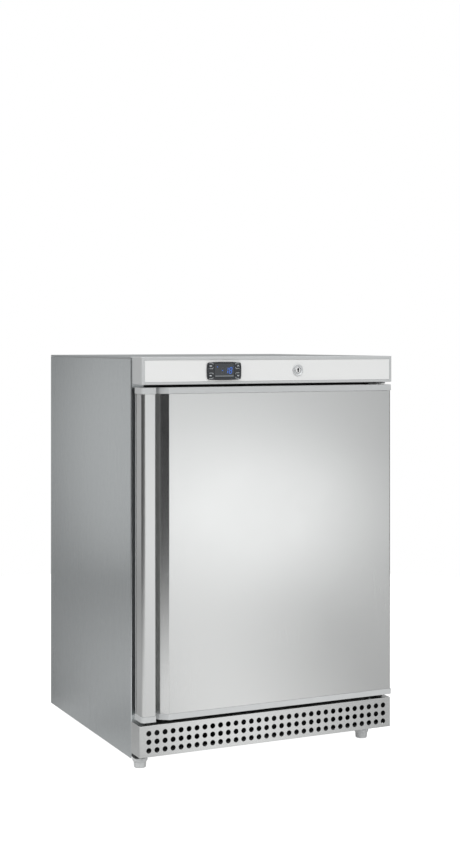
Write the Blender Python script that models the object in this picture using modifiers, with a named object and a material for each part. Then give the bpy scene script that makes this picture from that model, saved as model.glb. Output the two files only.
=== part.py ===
"""Undercounter freezer cabinet, stainless, one solid door hinged on the right.

Frame: origin on the floor under the middle of the cabinet, +X to the right as
seen from the front, +Y to the back, +Z up. Every number below is in
millimetres; the helpers turn it into metres.
"""

import math

import bmesh
import bpy
from mathutils import Matrix, Vector

MM = 0.001
GAP = 0.3  # play left between pieces that touch

# ---------------------------------------------------------------- cabinet
WIDTH, DEPTH, HEIGHT = 600.0, 585.0, 855.0
HALF_W, BACK = WIDTH / 2, DEPTH / 2
SHEET = 1.0
CASE_FRONT = -233.9  # front plane of the insulated case
SIDE_BOTTOM, SIDE_TOP = 18.0, 850.7
FLANGE_IN = 272.0  # inner edge of the side panels' front fold
REAR_SKIN = 257.5  # front face of the recessed rear panel
# storage compartment
BAY_X, BAY_BOTTOM, BAY_TOP, BAY_BACK = 250.0, 148.0, 748.0, 205.0
STEP_Y, STEP_Z = 48.0, 293.0  # raised floor above the compressor
LINER_WALL = 1.5
# compressor compartment
PIT_Y, PIT_Z = 96.0, 244.0
# control fascia
FASCIA_FRONT, FASCIA_BOTTOM, FASCIA_HALF = -288.5, 797.4, 298.0
PLATE_L, PLATE_R, PLATE_LOW, PLATE_HIGH = -291.1, 290.4, 803.4, 847.8
CTRL_X, CTRL_Z = -112.4, 825.0
BEZEL_W, BEZEL_FRONT = 79.6, -292.0
KEY_DX, KEY_DZ, KEY_W, KEY_H = 31.9, 10.2, 9.6, 10.6
LOCK_X, LOCK_Z = 63.5, 825.5
# kick plate
KICK_FRONT, KICK_LOW, KICK_HIGH = -282.0, 30.3, 95.4
HOLE_COLUMNS, HOLE_ROWS, HOLE_PITCH_X, HOLE_PITCH_Z, HOLE_D = 32, 3, 18.09, 17.7, 10.6
HOLE_MID_Z = 62.5
# feet
TRAY_LOW = 21.5
FEET = {
    "foot_front_left": (-282.0, -238.5),
    "foot_front_right": (253.0, -235.0),
    "foot_rear_left": (-262.0, 245.0),
    "foot_rear_right": (262.0, 245.0),
}
# ------------------------------------------------------------------- door
DOOR_LOW, DOOR_HIGH = 104.0, 791.6
CAP_LOW_TOP, CAP_HIGH_LOW = 116.0, 778.6
DOOR_FRONT = -288.0
DOOR_BACK = -251.5
HANDLE_FRONT = -291.7
PIN_X, PIN_Y, PIN_R = 278.0, -263.5, 4.0
GASKET_OUT, GASKET_IN, GASKET_LOW, GASKET_HIGH = 276.0, 256.0, 122.0, 774.0

for old in list(bpy.data.objects):
    bpy.data.objects.remove(old, do_unlink=True)

parts = bpy.data.collections.new("undercounter_freezer")
cutters = bpy.data.collections.new("cutters")
for group in (parts, cutters):
    bpy.context.scene.collection.children.link(group)


# -------------------------------------------------------------- materials
def material(name, colour, roughness, metallic):
    made = bpy.data.materials.new(name)
    made.use_nodes = True
    shader = made.node_tree.nodes["Principled BSDF"]
    shader.inputs["Base Color"].default_value = (*colour, 1.0)
    shader.inputs["Roughness"].default_value = roughness
    shader.inputs["Metallic"].default_value = metallic
    made.diffuse_color = (*colour, 1.0)
    return made


STEEL = ((0.60, 0.61, 0.61), 0.32, 1.0)
SIDE_STEEL = ((0.46, 0.47, 0.47), 0.40, 1.0)
ZINC = ((0.55, 0.57, 0.58), 0.45, 1.0)
GREY_PLASTIC = ((0.52, 0.53, 0.53), 0.45, 0.0)
WHITE_PLASTIC = ((0.80, 0.80, 0.79), 0.35, 0.0)
CHARCOAL = ((0.045, 0.050, 0.055), 0.35, 0.0)
LENS = ((0.05, 0.055, 0.06), 0.10, 0.0)
CHROME = ((0.75, 0.75, 0.76), 0.12, 1.0)
BLACK_PAINT = ((0.03, 0.03, 0.03), 0.35, 0.2)
RUBBER = ((0.06, 0.06, 0.06), 0.80, 0.0)
SEAL = ((0.50, 0.51, 0.52), 0.60, 0.0)
FOAM = ((0.80, 0.72, 0.45), 0.90, 0.0)
COPPER = ((0.72, 0.38, 0.22), 0.30, 1.0)
EVAPORATOR = ((0.78, 0.79, 0.79), 0.30, 0.0)


# ---------------------------------------------------------------- helpers
def place(obj, look=None, group=parts):
    group.objects.link(obj)
    if group is cutters:
        obj.hide_render = True
        obj.display_type = "WIRE"
    if look:
        obj.data.materials.append(material(obj.name, *look))
    return obj


def mesh_object(name, bm, centre, look, group=parts, matrix=None):
    mesh = bpy.data.meshes.new(name)
    bm.to_mesh(mesh)
    bm.free()
    obj = bpy.data.objects.new(name, mesh)
    obj.matrix_world = Matrix.Translation(Vector(centre) * MM) @ (matrix or Matrix())
    return place(obj, look, group)


def box(name, low, high, look=None, group=parts, rounds=()):
    """A cuboid between two corners. rounds holds (axis, {axis: side}, radius,
    segments): edges along an axis, on the given sides, get that radius."""
    low, high = Vector(low), Vector(high)
    size, centre = high - low, (low + high) / 2
    bm = bmesh.new()
    bmesh.ops.create_cube(bm, size=1.0)
    bmesh.ops.scale(bm, vec=size * MM, verts=bm.verts)
    for axis, sides, radius, segments in rounds:
        run = "XYZ".index(axis)
        chosen = []
        for edge in bm.edges:
            a, b = (v.co for v in edge.verts)
            along = (b - a).normalized()
            middle = (a + b) / 2
            if abs(along[run]) > 0.99 and all(
                middle["XYZ".index(k)] * side > size["XYZ".index(k)] * MM * 0.4999
                for k, side in sides.items()
            ):
                chosen.append(edge)
        bmesh.ops.bevel(
            bm,
            geom=chosen,
            offset=radius * MM,
            segments=segments,
            profile=0.5,
            affect="EDGES",
        )
    return mesh_object(name, bm, centre, look, group)


ALONG = {
    "Z": Matrix.Identity(4),
    "X": Matrix(((0, 0, 1, 0), (1, 0, 0, 0), (0, 1, 0, 0), (0, 0, 0, 1))),
    "Y": Matrix(((1, 0, 0, 0), (0, 0, -1, 0), (0, 1, 0, 0), (0, 0, 0, 1))),
}


def extrusion(name, loops, low, high, axis="Z", look=None, group=parts):
    """Closed outlines, holes included, drawn across an axis and pushed along
    it. Points are (x, y) across Z, (y, z) across X and (x, z) across Y."""
    curve = bpy.data.curves.new(name, "CURVE")
    curve.dimensions = "2D"
    curve.fill_mode = "BOTH"
    curve.extrude = (high - low) / 2 * MM
    for loop in loops:
        spline = curve.splines.new("POLY")
        spline.points.add(len(loop) - 1)
        spline.use_cyclic_u = True
        for point, (a, b) in zip(spline.points, loop):
            point.co = (a * MM, b * MM, 0.0, 1.0)
    drawn = bpy.data.objects.new(name + "_outline", curve)
    bpy.context.scene.collection.objects.link(drawn)
    bpy.context.view_layer.update()
    graph = bpy.context.evaluated_depsgraph_get()
    mesh = bpy.data.meshes.new_from_object(drawn.evaluated_get(graph))
    bm = bmesh.new()
    bm.from_mesh(mesh)
    bmesh.ops.remove_doubles(bm, verts=bm.verts, dist=1e-6)
    bmesh.ops.recalc_face_normals(bm, faces=bm.faces)
    bm.to_mesh(mesh)
    bm.free()
    bpy.data.objects.remove(drawn, do_unlink=True)
    obj = bpy.data.objects.new(name, mesh)
    mesh.name = name
    middle = Vector([0.0, 0.0, 0.0])
    middle["XYZ".index(axis)] = (low + high) / 2 * MM
    obj.matrix_world = Matrix.Translation(middle) @ ALONG[axis]
    return place(obj, look, group)


TURN = {
    "Z": Matrix.Identity(4),
    "Y": Matrix.Rotation(-math.pi / 2, 4, "X"),
    "X": Matrix.Rotation(math.pi / 2, 4, "Y"),
}


def turned(name, profile, centre, axis="Z", look=None, steps=16, group=parts):
    """A (radius, height) profile, listed top to bottom, spun about an axis."""
    mesh = bpy.data.meshes.new(name)
    points = [(r * MM, 0.0, h * MM) for r, h in profile]
    hollow = min(r for r, _ in profile) > 0
    edges = [(i, i + 1) for i in range(len(points) - 1)]
    if hollow:
        edges.append((len(points) - 1, 0))
    mesh.from_pydata(points, edges, [])
    obj = bpy.data.objects.new(name, mesh)
    obj.matrix_world = Matrix.Translation(Vector(centre) * MM) @ TURN[axis]
    spin = obj.modifiers.new("spin", "SCREW")
    spin.steps = spin.render_steps = steps
    spin.use_merge_vertices = True
    spin.merge_threshold = 0.00001
    spin.use_normal_calculate = False
    return place(obj, look, group)


def rod(name, radius, centre, low, high, axis="Z", look=None, sides=16, group=parts):
    """A round bar from low to high along an axis through centre."""
    bm = bmesh.new()
    bmesh.ops.create_cone(
        bm,
        cap_ends=True,
        segments=sides,
        radius1=radius * MM,
        radius2=radius * MM,
        depth=(high - low) * MM,
    )
    middle = list(centre)
    middle["XYZ".index(axis)] = (low + high) / 2
    return mesh_object(name, bm, middle, look, group, TURN[axis])


def tube(name, points, radius, look, resolution=2):
    curve = bpy.data.curves.new(name, "CURVE")
    curve.dimensions = "3D"
    curve.bevel_depth = radius * MM
    curve.bevel_resolution = resolution
    curve.use_fill_caps = True
    spline = curve.splines.new("POLY")
    spline.points.add(len(points) - 1)
    for target, point in zip(spline.points, points):
        target.co = (*(c * MM for c in point), 1.0)
    return place(bpy.data.objects.new(name, curve), look)


def boolean(target, tool, operation="DIFFERENCE"):
    change = target.modifiers.new(tool.name, "BOOLEAN")
    change.operation = operation
    change.solver = "EXACT"
    change.object = tool
    if tool.name not in cutters.objects:
        for group in list(tool.users_collection):
            group.objects.unlink(tool)
        cutters.objects.link(tool)
    tool.hide_render = True
    tool.display_type = "WIRE"
    return target


def cut_box(targets, name, low, high):
    tool = box("cut_" + name, low, high, group=cutters)
    for target in targets:
        boolean(target, tool)


def cut_rod(targets, name, radius, centre, low, high, axis, sides=16):
    tool = rod("cut_" + name, radius, centre, low, high, axis, None, sides, cutters)
    for target in targets:
        boolean(target, tool)


def add(target, tool):
    return boolean(target, tool, "UNION")


def rounded(points, radii, segments=4, closed=True):
    """The polygon with each corner replaced by an arc of its radius."""
    made = []
    count = len(points)
    for i, (point, radius) in enumerate(zip(points, radii)):
        if radius <= 0 or (not closed and i in (0, count - 1)):
            made.append(tuple(point))
            continue
        here = Vector(point)
        before = (Vector(points[i - 1]) - here).normalized()
        after = (Vector(points[(i + 1) % count]) - here).normalized()
        half = before.angle(after) / 2
        reach = radius / math.tan(half)
        centre = here + (before + after).normalized() * radius / math.sin(half)
        start, end = here + before * reach - centre, here + after * reach - centre
        sweep = math.atan2(start.cross(end), start.dot(end))
        for k in range(segments + 1):
            turn = Matrix.Rotation(sweep * k / segments, 2)
            made.append(tuple(centre + turn @ start))
    return made


def offset(path, distance):
    """The open path moved to its right by a distance, with mitred corners."""
    moved = []
    for i, point in enumerate(path):
        here = Vector(point)
        sides = []
        if i:
            sides.append((here - Vector(path[i - 1])).normalized())
        if i < len(path) - 1:
            sides.append((Vector(path[i + 1]) - here).normalized())
        rights = [Vector((d.y, -d.x)) for d in sides]
        middle = sum(rights, Vector((0.0, 0.0))).normalized()
        moved.append(tuple(here + middle * distance / middle.dot(rights[0])))
    return moved


def sheet(path, thickness):
    """The outline of a sheet whose outer face follows an open path."""
    return list(path) + offset(path, thickness)[::-1]


def smooth_route(points, per_span=5):
    """A Catmull-Rom curve through the points."""
    ends = [points[0], *points, points[-1]]
    made = []
    for i in range(1, len(ends) - 2):
        a, b, c, d = (Vector(p) for p in ends[i - 1 : i + 3])
        for k in range(per_span):
            t = k / per_span
            made.append(
                0.5
                * (
                    2 * b
                    + (c - a) * t
                    + (2 * a - 5 * b + 4 * c - d) * t * t
                    + (3 * b - a - 3 * c + d) * t**3
                )
            )
    made.append(Vector(points[-1]))
    return made


def pivot(name, at, pieces):
    """An empty on a joint's axis, and the pieces that move about it."""
    empty = bpy.data.objects.new(name, None)
    empty.empty_display_size = 0.03
    empty.location = Vector(at) * MM
    parts.objects.link(empty)
    for piece in pieces:
        piece.parent = empty
        piece.matrix_parent_inverse = Matrix.Translation(-Vector(at) * MM)
    return empty


# ============================================================ outer casing
def side_panel(name, side):
    """Folded sheet: outer face, a front fold that the seal closes on, and a
    short rear fold."""
    outer = rounded(
        [
            (-FLANGE_IN, CASE_FRONT),
            (-HALF_W, CASE_FRONT),
            (-HALF_W, BACK),
            (-280.0, BACK),
        ],
        [0, 2.0, 1.5, 0],
        3,
        closed=False,
    )
    outline = [(x * -side, y) for x, y in sheet(outer, SHEET)]
    panel = extrusion(name, [outline], SIDE_BOTTOM, SIDE_TOP, "Z", SIDE_STEEL)
    low, high = sorted((side * 268.0, side * 298.8))
    cut_box([panel], name + "_toe", (low, -236, 10), (high, -230, 48))
    return panel


side_left = side_panel("side_panel_left", -1)
side_right = side_panel("side_panel_right", 1)

top_panel = box(
    "top_panel", (-HALF_W, CASE_FRONT, 770), (HALF_W, BACK, HEIGHT), SIDE_STEEL
)
cut_box([top_panel], "top_inside", (-299, -232.9, 700), (299, 291.5, 854))
cut_box([top_panel], "top_skirts", (-310, -232.0, 700), (310, 310, 851))
for side in (-1, 1):
    low, high = sorted((side * 271.7, side * 310.0))
    cut_box([top_panel], f"top_corner_{side}", (low, -240, 700), (high, -231, 851))

rear_panel = box(
    "rear_panel", (-298.7, REAR_SKIN, 245.5), (298.7, REAR_SKIN + 1, 853.7), ZINC
)

# base tray: a shallow steel tray that the feet and the compressor stand in
base_tray = box("base_tray", (-298.4, -252, TRAY_LOW), (298.4, 286.7, 44), ZINC)
cut_box([base_tray], "tray_inside", (-297.0, -250.6, TRAY_LOW + 1.5), (297.0, 285.3, 50))
cut_box([base_tray], "tray_lip", (-310, -300, 33.0), (310, 280, 50))

# floor pan: bottom skin of the insulated case, stepped over the compressor
pan_path = [
    (CASE_FRONT, 125.7),
    (CASE_FRONT, 99.0),
    (PIT_Y, 99.0),
    (PIT_Y, PIT_Z),
    (REAR_SKIN - GAP, PIT_Z),
]
pan_outline = list(pan_path) + offset(pan_path, -SHEET)[::-1]
floor_pan = extrusion("floor_pan", [pan_outline], -298.7, 298.7, "X", ZINC)
for side in (-1, 1):
    low, high = sorted((side * 271.7, side * 310.0))
    cut_box([floor_pan], f"pan_corner_{side}", (low, -240, 90), (high, -232.6, 140))


# ==================================================== insulation and liner
def bay_outline(grow, front):
    """Side view of the storage compartment, grown outwards by a margin."""
    r = 14.0
    return rounded(
        [
            (front, BAY_BOTTOM - grow),
            (STEP_Y + grow, BAY_BOTTOM - grow),
            (STEP_Y + grow, STEP_Z - grow),
            (BAY_BACK + grow, STEP_Z - grow),
            (BAY_BACK + grow, BAY_TOP + grow),
            (front, BAY_TOP + grow),
        ],
        [0, r + grow, r - grow, r + grow, r + grow, 0],
        3,
    )


LINER_FRONT = -230.6
inner_liner = extrusion(
    "inner_liner",
    [bay_outline(LINER_WALL, LINER_FRONT)],
    -BAY_X - LINER_WALL,
    BAY_X + LINER_WALL,
    "X",
    WHITE_PLASTIC,
)
liner_void = extrusion(
    "cut_liner", [bay_outline(0, -260)], -BAY_X, BAY_X, "X", None, cutters
)
boolean(inner_liner, liner_void)

cabinet_foam = box(
    "cabinet_foam",
    (-298.7, -232.6, 100.3),
    (298.7, 257.2, 853.7),
    FOAM,
    rounds=[("Z", {"Y": -1}, 3.0, 1)],
)
foam_void = extrusion(
    "cut_foam_bay",
    [bay_outline(LINER_WALL + GAP, -260)],
    -BAY_X - LINER_WALL - GAP,
    BAY_X + LINER_WALL + GAP,
    "X",
    None,
    cutters,
)
boolean(cabinet_foam, foam_void)
cut_box([cabinet_foam], "foam_pit", (-310, 94.7, 90), (310, 300, 245.3))
cut_box([cabinet_foam], "foam_frame", (-272.0, -240, 126.0), (272.0, -230.6, 769.7))

FRAME_OUT, FRAME_LOW, FRAME_HIGH = 271.7, 126.0, 769.7
breaker_frame = extrusion(
    "breaker_frame",
    [
        [
            (-FRAME_OUT, FRAME_LOW),
            (FRAME_OUT, FRAME_LOW),
            (FRAME_OUT, FRAME_HIGH),
            (-FRAME_OUT, FRAME_HIGH),
        ],
        [
            (-BAY_X, BAY_BOTTOM),
            (BAY_X, BAY_BOTTOM),
            (BAY_X, BAY_TOP),
            (-BAY_X, BAY_TOP),
        ],
    ],
    CASE_FRONT,
    LINER_FRONT - GAP,
    "Y",
    WHITE_PLASTIC,
)

# ================================================================= fascia
fascia_frame = box(
    "fascia_frame",
    (-FASCIA_HALF, FASCIA_FRONT, FASCIA_BOTTOM),
    (FASCIA_HALF, CASE_FRONT - GAP, HEIGHT),
    GREY_PLASTIC,
    rounds=[("Z", {"Y": -1}, 4.5, 4), ("X", {"Y": -1}, 1.6, 2)],
)
cut_box([fascia_frame], "fascia_inside", (-295.5, -285.0, 799.9), (295.5, -200, 852.5))
cut_box(
    [fascia_frame],
    "fascia_window",
    (PLATE_L + 6, -300, PLATE_LOW + 6),
    (PLATE_R - 6, -280, PLATE_HIGH - 6),
)
cut_box(
    [fascia_frame],
    "fascia_rebate",
    (PLATE_L - GAP, -300, PLATE_LOW - GAP),
    (PLATE_R + GAP, -286.7, PLATE_HIGH + GAP),
)
cut_box([fascia_frame], "fascia_hinge_notch", (260, -241, 790), (295.5, -200, 801))
cut_box([fascia_frame], "fascia_bolt_slot", (55, -265.5, 790), (102, -258.5, 801))

fascia_plate = box(
    "fascia_plate",
    (PLATE_L, -288.2, PLATE_LOW),
    (PLATE_R, -287.0, PLATE_HIGH),
    WHITE_PLASTIC,
)
cut_box(
    [fascia_plate],
    "plate_controller",
    (CTRL_X - 35.8, -300, CTRL_Z - 14.4),
    (CTRL_X + 35.8, -280, CTRL_Z + 14.4),
)
cut_rod([fascia_plate], "plate_lock", 9.9, (LOCK_X, 0, LOCK_Z), -300, -280, "Y", 20)

# --------------------------------------------------------------- controller
controller_housing = box(
    "controller_housing",
    (CTRL_X - 35.4, -288.2, CTRL_Z - 14.0),
    (CTRL_X + 35.4, -243.5, CTRL_Z + 14.0),
    CHARCOAL,
    rounds=[("Y", {}, 1.5, 1)],
)


def bezel_outline(width, height, bulge_x, bulge_z, corner):
    """A rectangle whose four sides bow outwards, with rounded corners."""
    a, b = width / 2 - bulge_x, height / 2 - bulge_z
    points = []
    for cx, cz, start in ((1, -1, -90), (1, 1, 0), (-1, 1, 90), (-1, -1, 180)):
        for k in range(4):
            angle = math.radians(start + 30 * k)
            points.append(
                (
                    cx * (a - corner) + corner * math.cos(angle),
                    cz * (b - corner) + corner * math.sin(angle),
                )
            )
        if start in (-90, 90):
            run = [0.5, 0.0, -0.5]
            side = 1 if start == -90 else -1
            points += [
                (side * (a + bulge_x * (1 - t * t)), -side * t * b) for t in run
            ]
        else:
            run = [0.75, 0.4, 0.0, -0.4, -0.75]
            side = 1 if start == 0 else -1
            points += [
                (side * t * a, side * (b + bulge_z * (1 - t * t))) for t in run
            ]
    return [(x + CTRL_X, z + CTRL_Z) for x, z in points]


def rectangle(cx, cz, w, h, corner=0.0):
    return rounded(
        [
            (cx - w / 2, cz - h / 2),
            (cx + w / 2, cz - h / 2),
            (cx + w / 2, cz + h / 2),
            (cx - w / 2, cz + h / 2),
        ],
        [corner] * 4,
        2,
    )


KEYS = {
    "key_light": (-1, 1),
    "key_set": (-1, -1),
    "key_up": (1, 1),
    "key_down": (1, -1),
}
controller_bezel = extrusion(
    "controller_bezel",
    [bezel_outline(BEZEL_W, 38.6, 1.0, 1.8, 3.0)],
    BEZEL_FRONT,
    -288.5,
    "Y",
    CHARCOAL,
)
for name, (sx, sz) in KEYS.items():
    x, z = CTRL_X + sx * KEY_DX, CTRL_Z + 0.4 + sz * KEY_DZ
    opening = box(
        "cut_" + name,
        (x - KEY_W / 2 - 0.4, -300, z - KEY_H / 2 - 0.4),
        (x + KEY_W / 2 + 0.4, -280, z + KEY_H / 2 + 0.4),
        group=cutters,
        rounds=[("Y", {}, 1.4, 2)],
    )
    boolean(controller_bezel, opening)
LENS_W, LENS_H, LENS_Z = 46.0, 28.4, CTRL_Z + 1.6
cut_box(
    [controller_bezel],
    "bezel_window",
    (CTRL_X - LENS_W / 2, -300, LENS_Z - LENS_H / 2),
    (CTRL_X + LENS_W / 2, -290.2, LENS_Z + LENS_H / 2),
)
display_lens = box(
    "display_lens",
    (CTRL_X - LENS_W / 2 + 0.3, -291.7, LENS_Z - LENS_H / 2 + 0.3),
    (CTRL_X + LENS_W / 2 - 0.3, -290.5, LENS_Z + LENS_H / 2 - 0.3),
    LENS,
)
for name, (sx, sz) in KEYS.items():
    x, z = CTRL_X + sx * KEY_DX, CTRL_Z + 0.4 + sz * KEY_DZ
    key = extrusion(
        name, [rectangle(x, z, KEY_W, KEY_H, 1.2)], -292.4, -289.7, "Y", CHARCOAL
    )
    pivot(name + "_travel", (x, -289.7, z), [key])

# --------------------------------------------------------------------- lock
# heights run along +Y, so the front of the lock is the lowest height
lock_housing = turned(
    "lock_housing",
    [(9.5, -266.0), (9.5, -288.5), (12.3, -288.5), (12.3, -290.1), (11.6, -290.8), (6.8, -290.8), (6.8, -266.0)],
    (LOCK_X, 0, LOCK_Z),
    "Y",
    CHROME,
    20,
)
lock_nut = rod("lock_nut", 13.2, (LOCK_X, 0, LOCK_Z), -286.7, -282.5, "Y", ZINC, 6)
cut_rod([lock_nut], "nut_bore", 9.9, (LOCK_X, 0, LOCK_Z), -300, -270, "Y", 20)
lock_cylinder = turned(
    "lock_cylinder",
    [(0, -259.0), (3.6, -259.0), (3.6, -263.6), (6.3, -263.6), (6.3, -291.0), (0, -291.0)],
    (LOCK_X, 0, LOCK_Z),
    "Y",
    CHROME,
    16,
)
cut_box(
    [lock_cylinder],
    "keyway",
    (LOCK_X - 0.9, -300, LOCK_Z - 3.4),
    (LOCK_X + 0.9, -284.0, LOCK_Z + 3.4),
)
CAM_REACH = 42.5
cam_arc = [
    (
        LOCK_X + 8.0 * math.cos(math.radians(a)),
        LOCK_Z + 8.0 * math.sin(math.radians(a)),
    )
    for a in range(60, 301, 30)
]
lock_cam = extrusion(
    "lock_cam",
    [
        cam_arc
        + [
            (LOCK_X + CAM_REACH, LOCK_Z - 5.0),
            (LOCK_X + CAM_REACH, LOCK_Z + 5.0),
        ],
        [
            (
                LOCK_X + 4.0 * math.cos(math.radians(a)),
                LOCK_Z + 4.0 * math.sin(math.radians(a)),
            )
            for a in range(0, 360, 30)
        ],
    ],
    -263.2,
    -260.8,
    "Y",
    ZINC,
)
pivot("lock_axis", (LOCK_X, -275.0, LOCK_Z), [lock_cylinder, lock_cam])

# ============================================================= kick plate
kick_plate = box(
    "kick_plate",
    (-HALF_W, KICK_FRONT, KICK_LOW),
    (HALF_W, CASE_FRONT - GAP, KICK_HIGH),
    STEEL,
    rounds=[("Z", {"Y": -1}, 1.5, 2)],
)
cut_box([kick_plate], "kick_inside", (-299, KICK_FRONT + 1, 31.3), (299, -200, 94.4))
cut_box([kick_plate], "kick_under", (-287, -269, 20), (287, -200, 40))
cut_box([kick_plate], "kick_corner_left", (-299, -262, 20), (-286, -200, 40))
cut_box([kick_plate], "kick_corner_right", (286, -262, 20), (299, -200, 40))
cut_box([kick_plate], "kick_hinge_notch", (258, -241, 90), (299, -200, 100))
holes = bmesh.new()
for row in range(HOLE_ROWS):
    for column in range(HOLE_COLUMNS):
        spot = Vector(
            (
                (column - (HOLE_COLUMNS - 1) / 2) * HOLE_PITCH_X,
                0.0,
                (row - (HOLE_ROWS - 1) / 2) * HOLE_PITCH_Z,
            )
        )
        bmesh.ops.create_cone(
            holes,
            cap_ends=True,
            segments=6,
            radius1=HOLE_D / 2 * MM,
            radius2=HOLE_D / 2 * MM,
            depth=12 * MM,
            matrix=Matrix.Translation(spot * MM) @ TURN["Y"],
        )
boolean(
    kick_plate,
    mesh_object("cut_kick_holes", holes, (0, KICK_FRONT, HOLE_MID_Z), None, cutters),
)

# =================================================================== feet
for name, (x, y) in FEET.items():
    cut_rod([base_tray], name + "_hole", 5.3, (x, y, 0), 10, 60, "Z", 12)
    foot = turned(
        name,
        [
            (0, 46.0),
            (4.3, 46.0),
            (4.9, 45.0),
            (4.9, 21.2),
            (15.2, 21.2),
            (16.0, 20.2),
            (16.0, 15.6),
            (14.0, 12.6),
            (12.9, 11.8),
            (12.7, 2.2),
            (10.8, 0.0),
            (0, 0.0),
        ],
        (x, y, 0),
        "Z",
        GREY_PLASTIC,
        12,
    )
    pivot(name + "_screw", (x, y, TRAY_LOW), [foot])

# ================================================================== hinge
hinge_reach = [
    (
        PIN_X + 10.5 * math.cos(math.radians(a)),
        PIN_Y + 10.5 * math.sin(math.radians(a)),
    )
    for a in range(180, 361, 30)
]
plate_plan = [(262.0, -234.2), (262.0, -246.0)] + hinge_reach + [
    (294.5, -246.0),
    (294.5, -234.2),
]
pin_hole = [
    (
        PIN_X + 4.4 * math.cos(math.radians(a + 11.25)),
        PIN_Y + 4.4 * math.sin(math.radians(a + 11.25)),
    )
    for a in [22.5 * k for k in range(16)]
]


def hinge_bracket(name, low, leg_low, leg_high):
    bracket = extrusion(name, [plate_plan, pin_hole], low, low + 3.0, "Z", ZINC)
    leg = box(name + "_leg", (262.4, -237.2, leg_low), (294.1, -234.6, leg_high))
    return add(bracket, leg)


bracket_top = hinge_bracket("hinge_bracket_top", 793.0, 794.0, 836.0)
bracket_low = hinge_bracket("hinge_bracket_bottom", 97.0, 50.0, 99.0)
hinge_pin_top = rod(
    "hinge_pin_top", PIN_R, (PIN_X, PIN_Y, 0), 781.0, 796.2, "Z", CHROME, 16
)
hinge_pin_low = rod(
    "hinge_pin_bottom", PIN_R, (PIN_X, PIN_Y, 0), 96.6, 114.0, "Z", CHROME, 16
)
SCREWS = {
    "hinge_screw_1": (283.0, 826.0, bracket_top),
    "hinge_screw_2": (283.0, 809.0, bracket_top),
    "hinge_screw_3": (283.0, 82.0, bracket_low),
    "hinge_screw_4": (283.0, 64.0, bracket_low),
}
for name, (x, z, bracket) in SCREWS.items():
    turned(
        name,
        [(0, -222.0), (1.2, -222.0), (2.0, -224.0), (2.0, -237.5), (4.2, -237.5), (3.6, -239.6), (0, -240.0)],
        (x, 0, z),
        "Y",
        ZINC,
        8,
    )
    cut_rod(
        [bracket, side_right, cabinet_foam] if z > 200 else [bracket, side_right],
        name,
        2.6,
        (x, 0, z),
        -245,
        -215,
        "Y",
        8,
    )

# =================================================================== door
door_path = rounded(
    [
        (297.0, DOOR_BACK),
        (297.0, DOOR_FRONT),
        (-239.0, DOOR_FRONT),
        (-263.0, -260.0),
        (-294.7, -260.0),
    ],
    [0, 3.0, 6.0, 5.0, 0],
    4,
    closed=False,
)
door_skin = extrusion(
    "door_skin",
    [sheet(door_path, SHEET)],
    CAP_LOW_TOP + GAP,
    CAP_HIGH_LOW - GAP,
    "Z",
    STEEL,
)
handle_path = rounded(
    [
        (-268.0, -286.7),
        (-268.0, HANDLE_FRONT),
        (-297.5, HANDLE_FRONT),
        (-297.5, -256.5),
        (-275.0, -256.5),
    ],
    [0, 2.2, 8.0, 2.5, 0],
    4,
    closed=False,
)
handle_profile = extrusion(
    "handle_profile",
    [sheet(handle_path, 2.0)],
    CAP_LOW_TOP + GAP,
    CAP_HIGH_LOW - GAP,
    "Z",
    STEEL,
)
foam_edge = [p for p in offset(door_path, SHEET + GAP) if p[0] > -272.0]
door_foam = extrusion(
    "door_foam",
    [
        foam_edge
        + [(-274.6, -258.7), (-274.6, -256.1), (-295.4, -256.1), (-295.4, DOOR_BACK)]
    ],
    CAP_LOW_TOP + GAP,
    CAP_HIGH_LOW - GAP,
    "Z",
    FOAM,
)
add(door_foam, box("foam_plug", (-232.7, -253.0, 168), (232.7, -228.3, 732)))

door_liner = box(
    "door_inner_liner", (-297, -251.2, 106), (297, -249.2, 789.5), WHITE_PLASTIC
)
add(
    door_liner,
    box(
        "liner_plug",
        (-235, -250.4, 165.7),
        (235, -226.0, 734.3),
        rounds=[("Y", {}, 8.0, 3), ("X", {"Y": 1}, 4.0, 2), ("Z", {"Y": 1}, 4.0, 2)],
    ),
)
cut_box([door_liner], "liner_hollow", (-233.0, -260, 167.7), (233.0, -228.0, 732.3))

door_gasket = extrusion(
    "door_gasket",
    [
        rectangle(0, (GASKET_LOW + GASKET_HIGH) / 2, 2 * GASKET_OUT, GASKET_HIGH - GASKET_LOW, 6.0),
        rectangle(
            0,
            (GASKET_LOW + GASKET_HIGH) / 2,
            2 * GASKET_IN,
            GASKET_HIGH - GASKET_LOW - 2 * (GASKET_OUT - GASKET_IN),
            4.0,
        ),
    ],
    -248.9,
    CASE_FRONT - GAP,
    "Y",
    SEAL,
)

cap_plan = rounded(
    [
        (-299.0, DOOR_BACK),
        (-299.0, -BACK),
        (-267.2, -BACK),
        (-267.2, -261.0),
        (-263.4, -261.0),
        (-239.4, -289.0),
        (299.0, -289.0),
        (299.0, DOOR_BACK),
    ],
    [0, 9.0, 2.2, 0, 0, 6.0, 4.0, 0],
    4,
)
bush_hole = [
    (
        PIN_X + 6.5 * math.cos(math.radians(22.5 * k + 11.25)),
        PIN_Y + 6.5 * math.sin(math.radians(22.5 * k + 11.25)),
    )
    for k in range(16)
]
cap_low = extrusion(
    "door_cap_bottom", [cap_plan, bush_hole], DOOR_LOW, CAP_LOW_TOP, "Z", GREY_PLASTIC
)
bolt_pocket = [(56.0, -264.8), (101.0, -264.8), (101.0, -259.2), (56.0, -259.2)]
cap_high = extrusion(
    "door_cap_top",
    [cap_plan, bush_hole, bolt_pocket],
    CAP_HIGH_LOW,
    DOOR_HIGH,
    "Z",
    GREY_PLASTIC,
)
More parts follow.
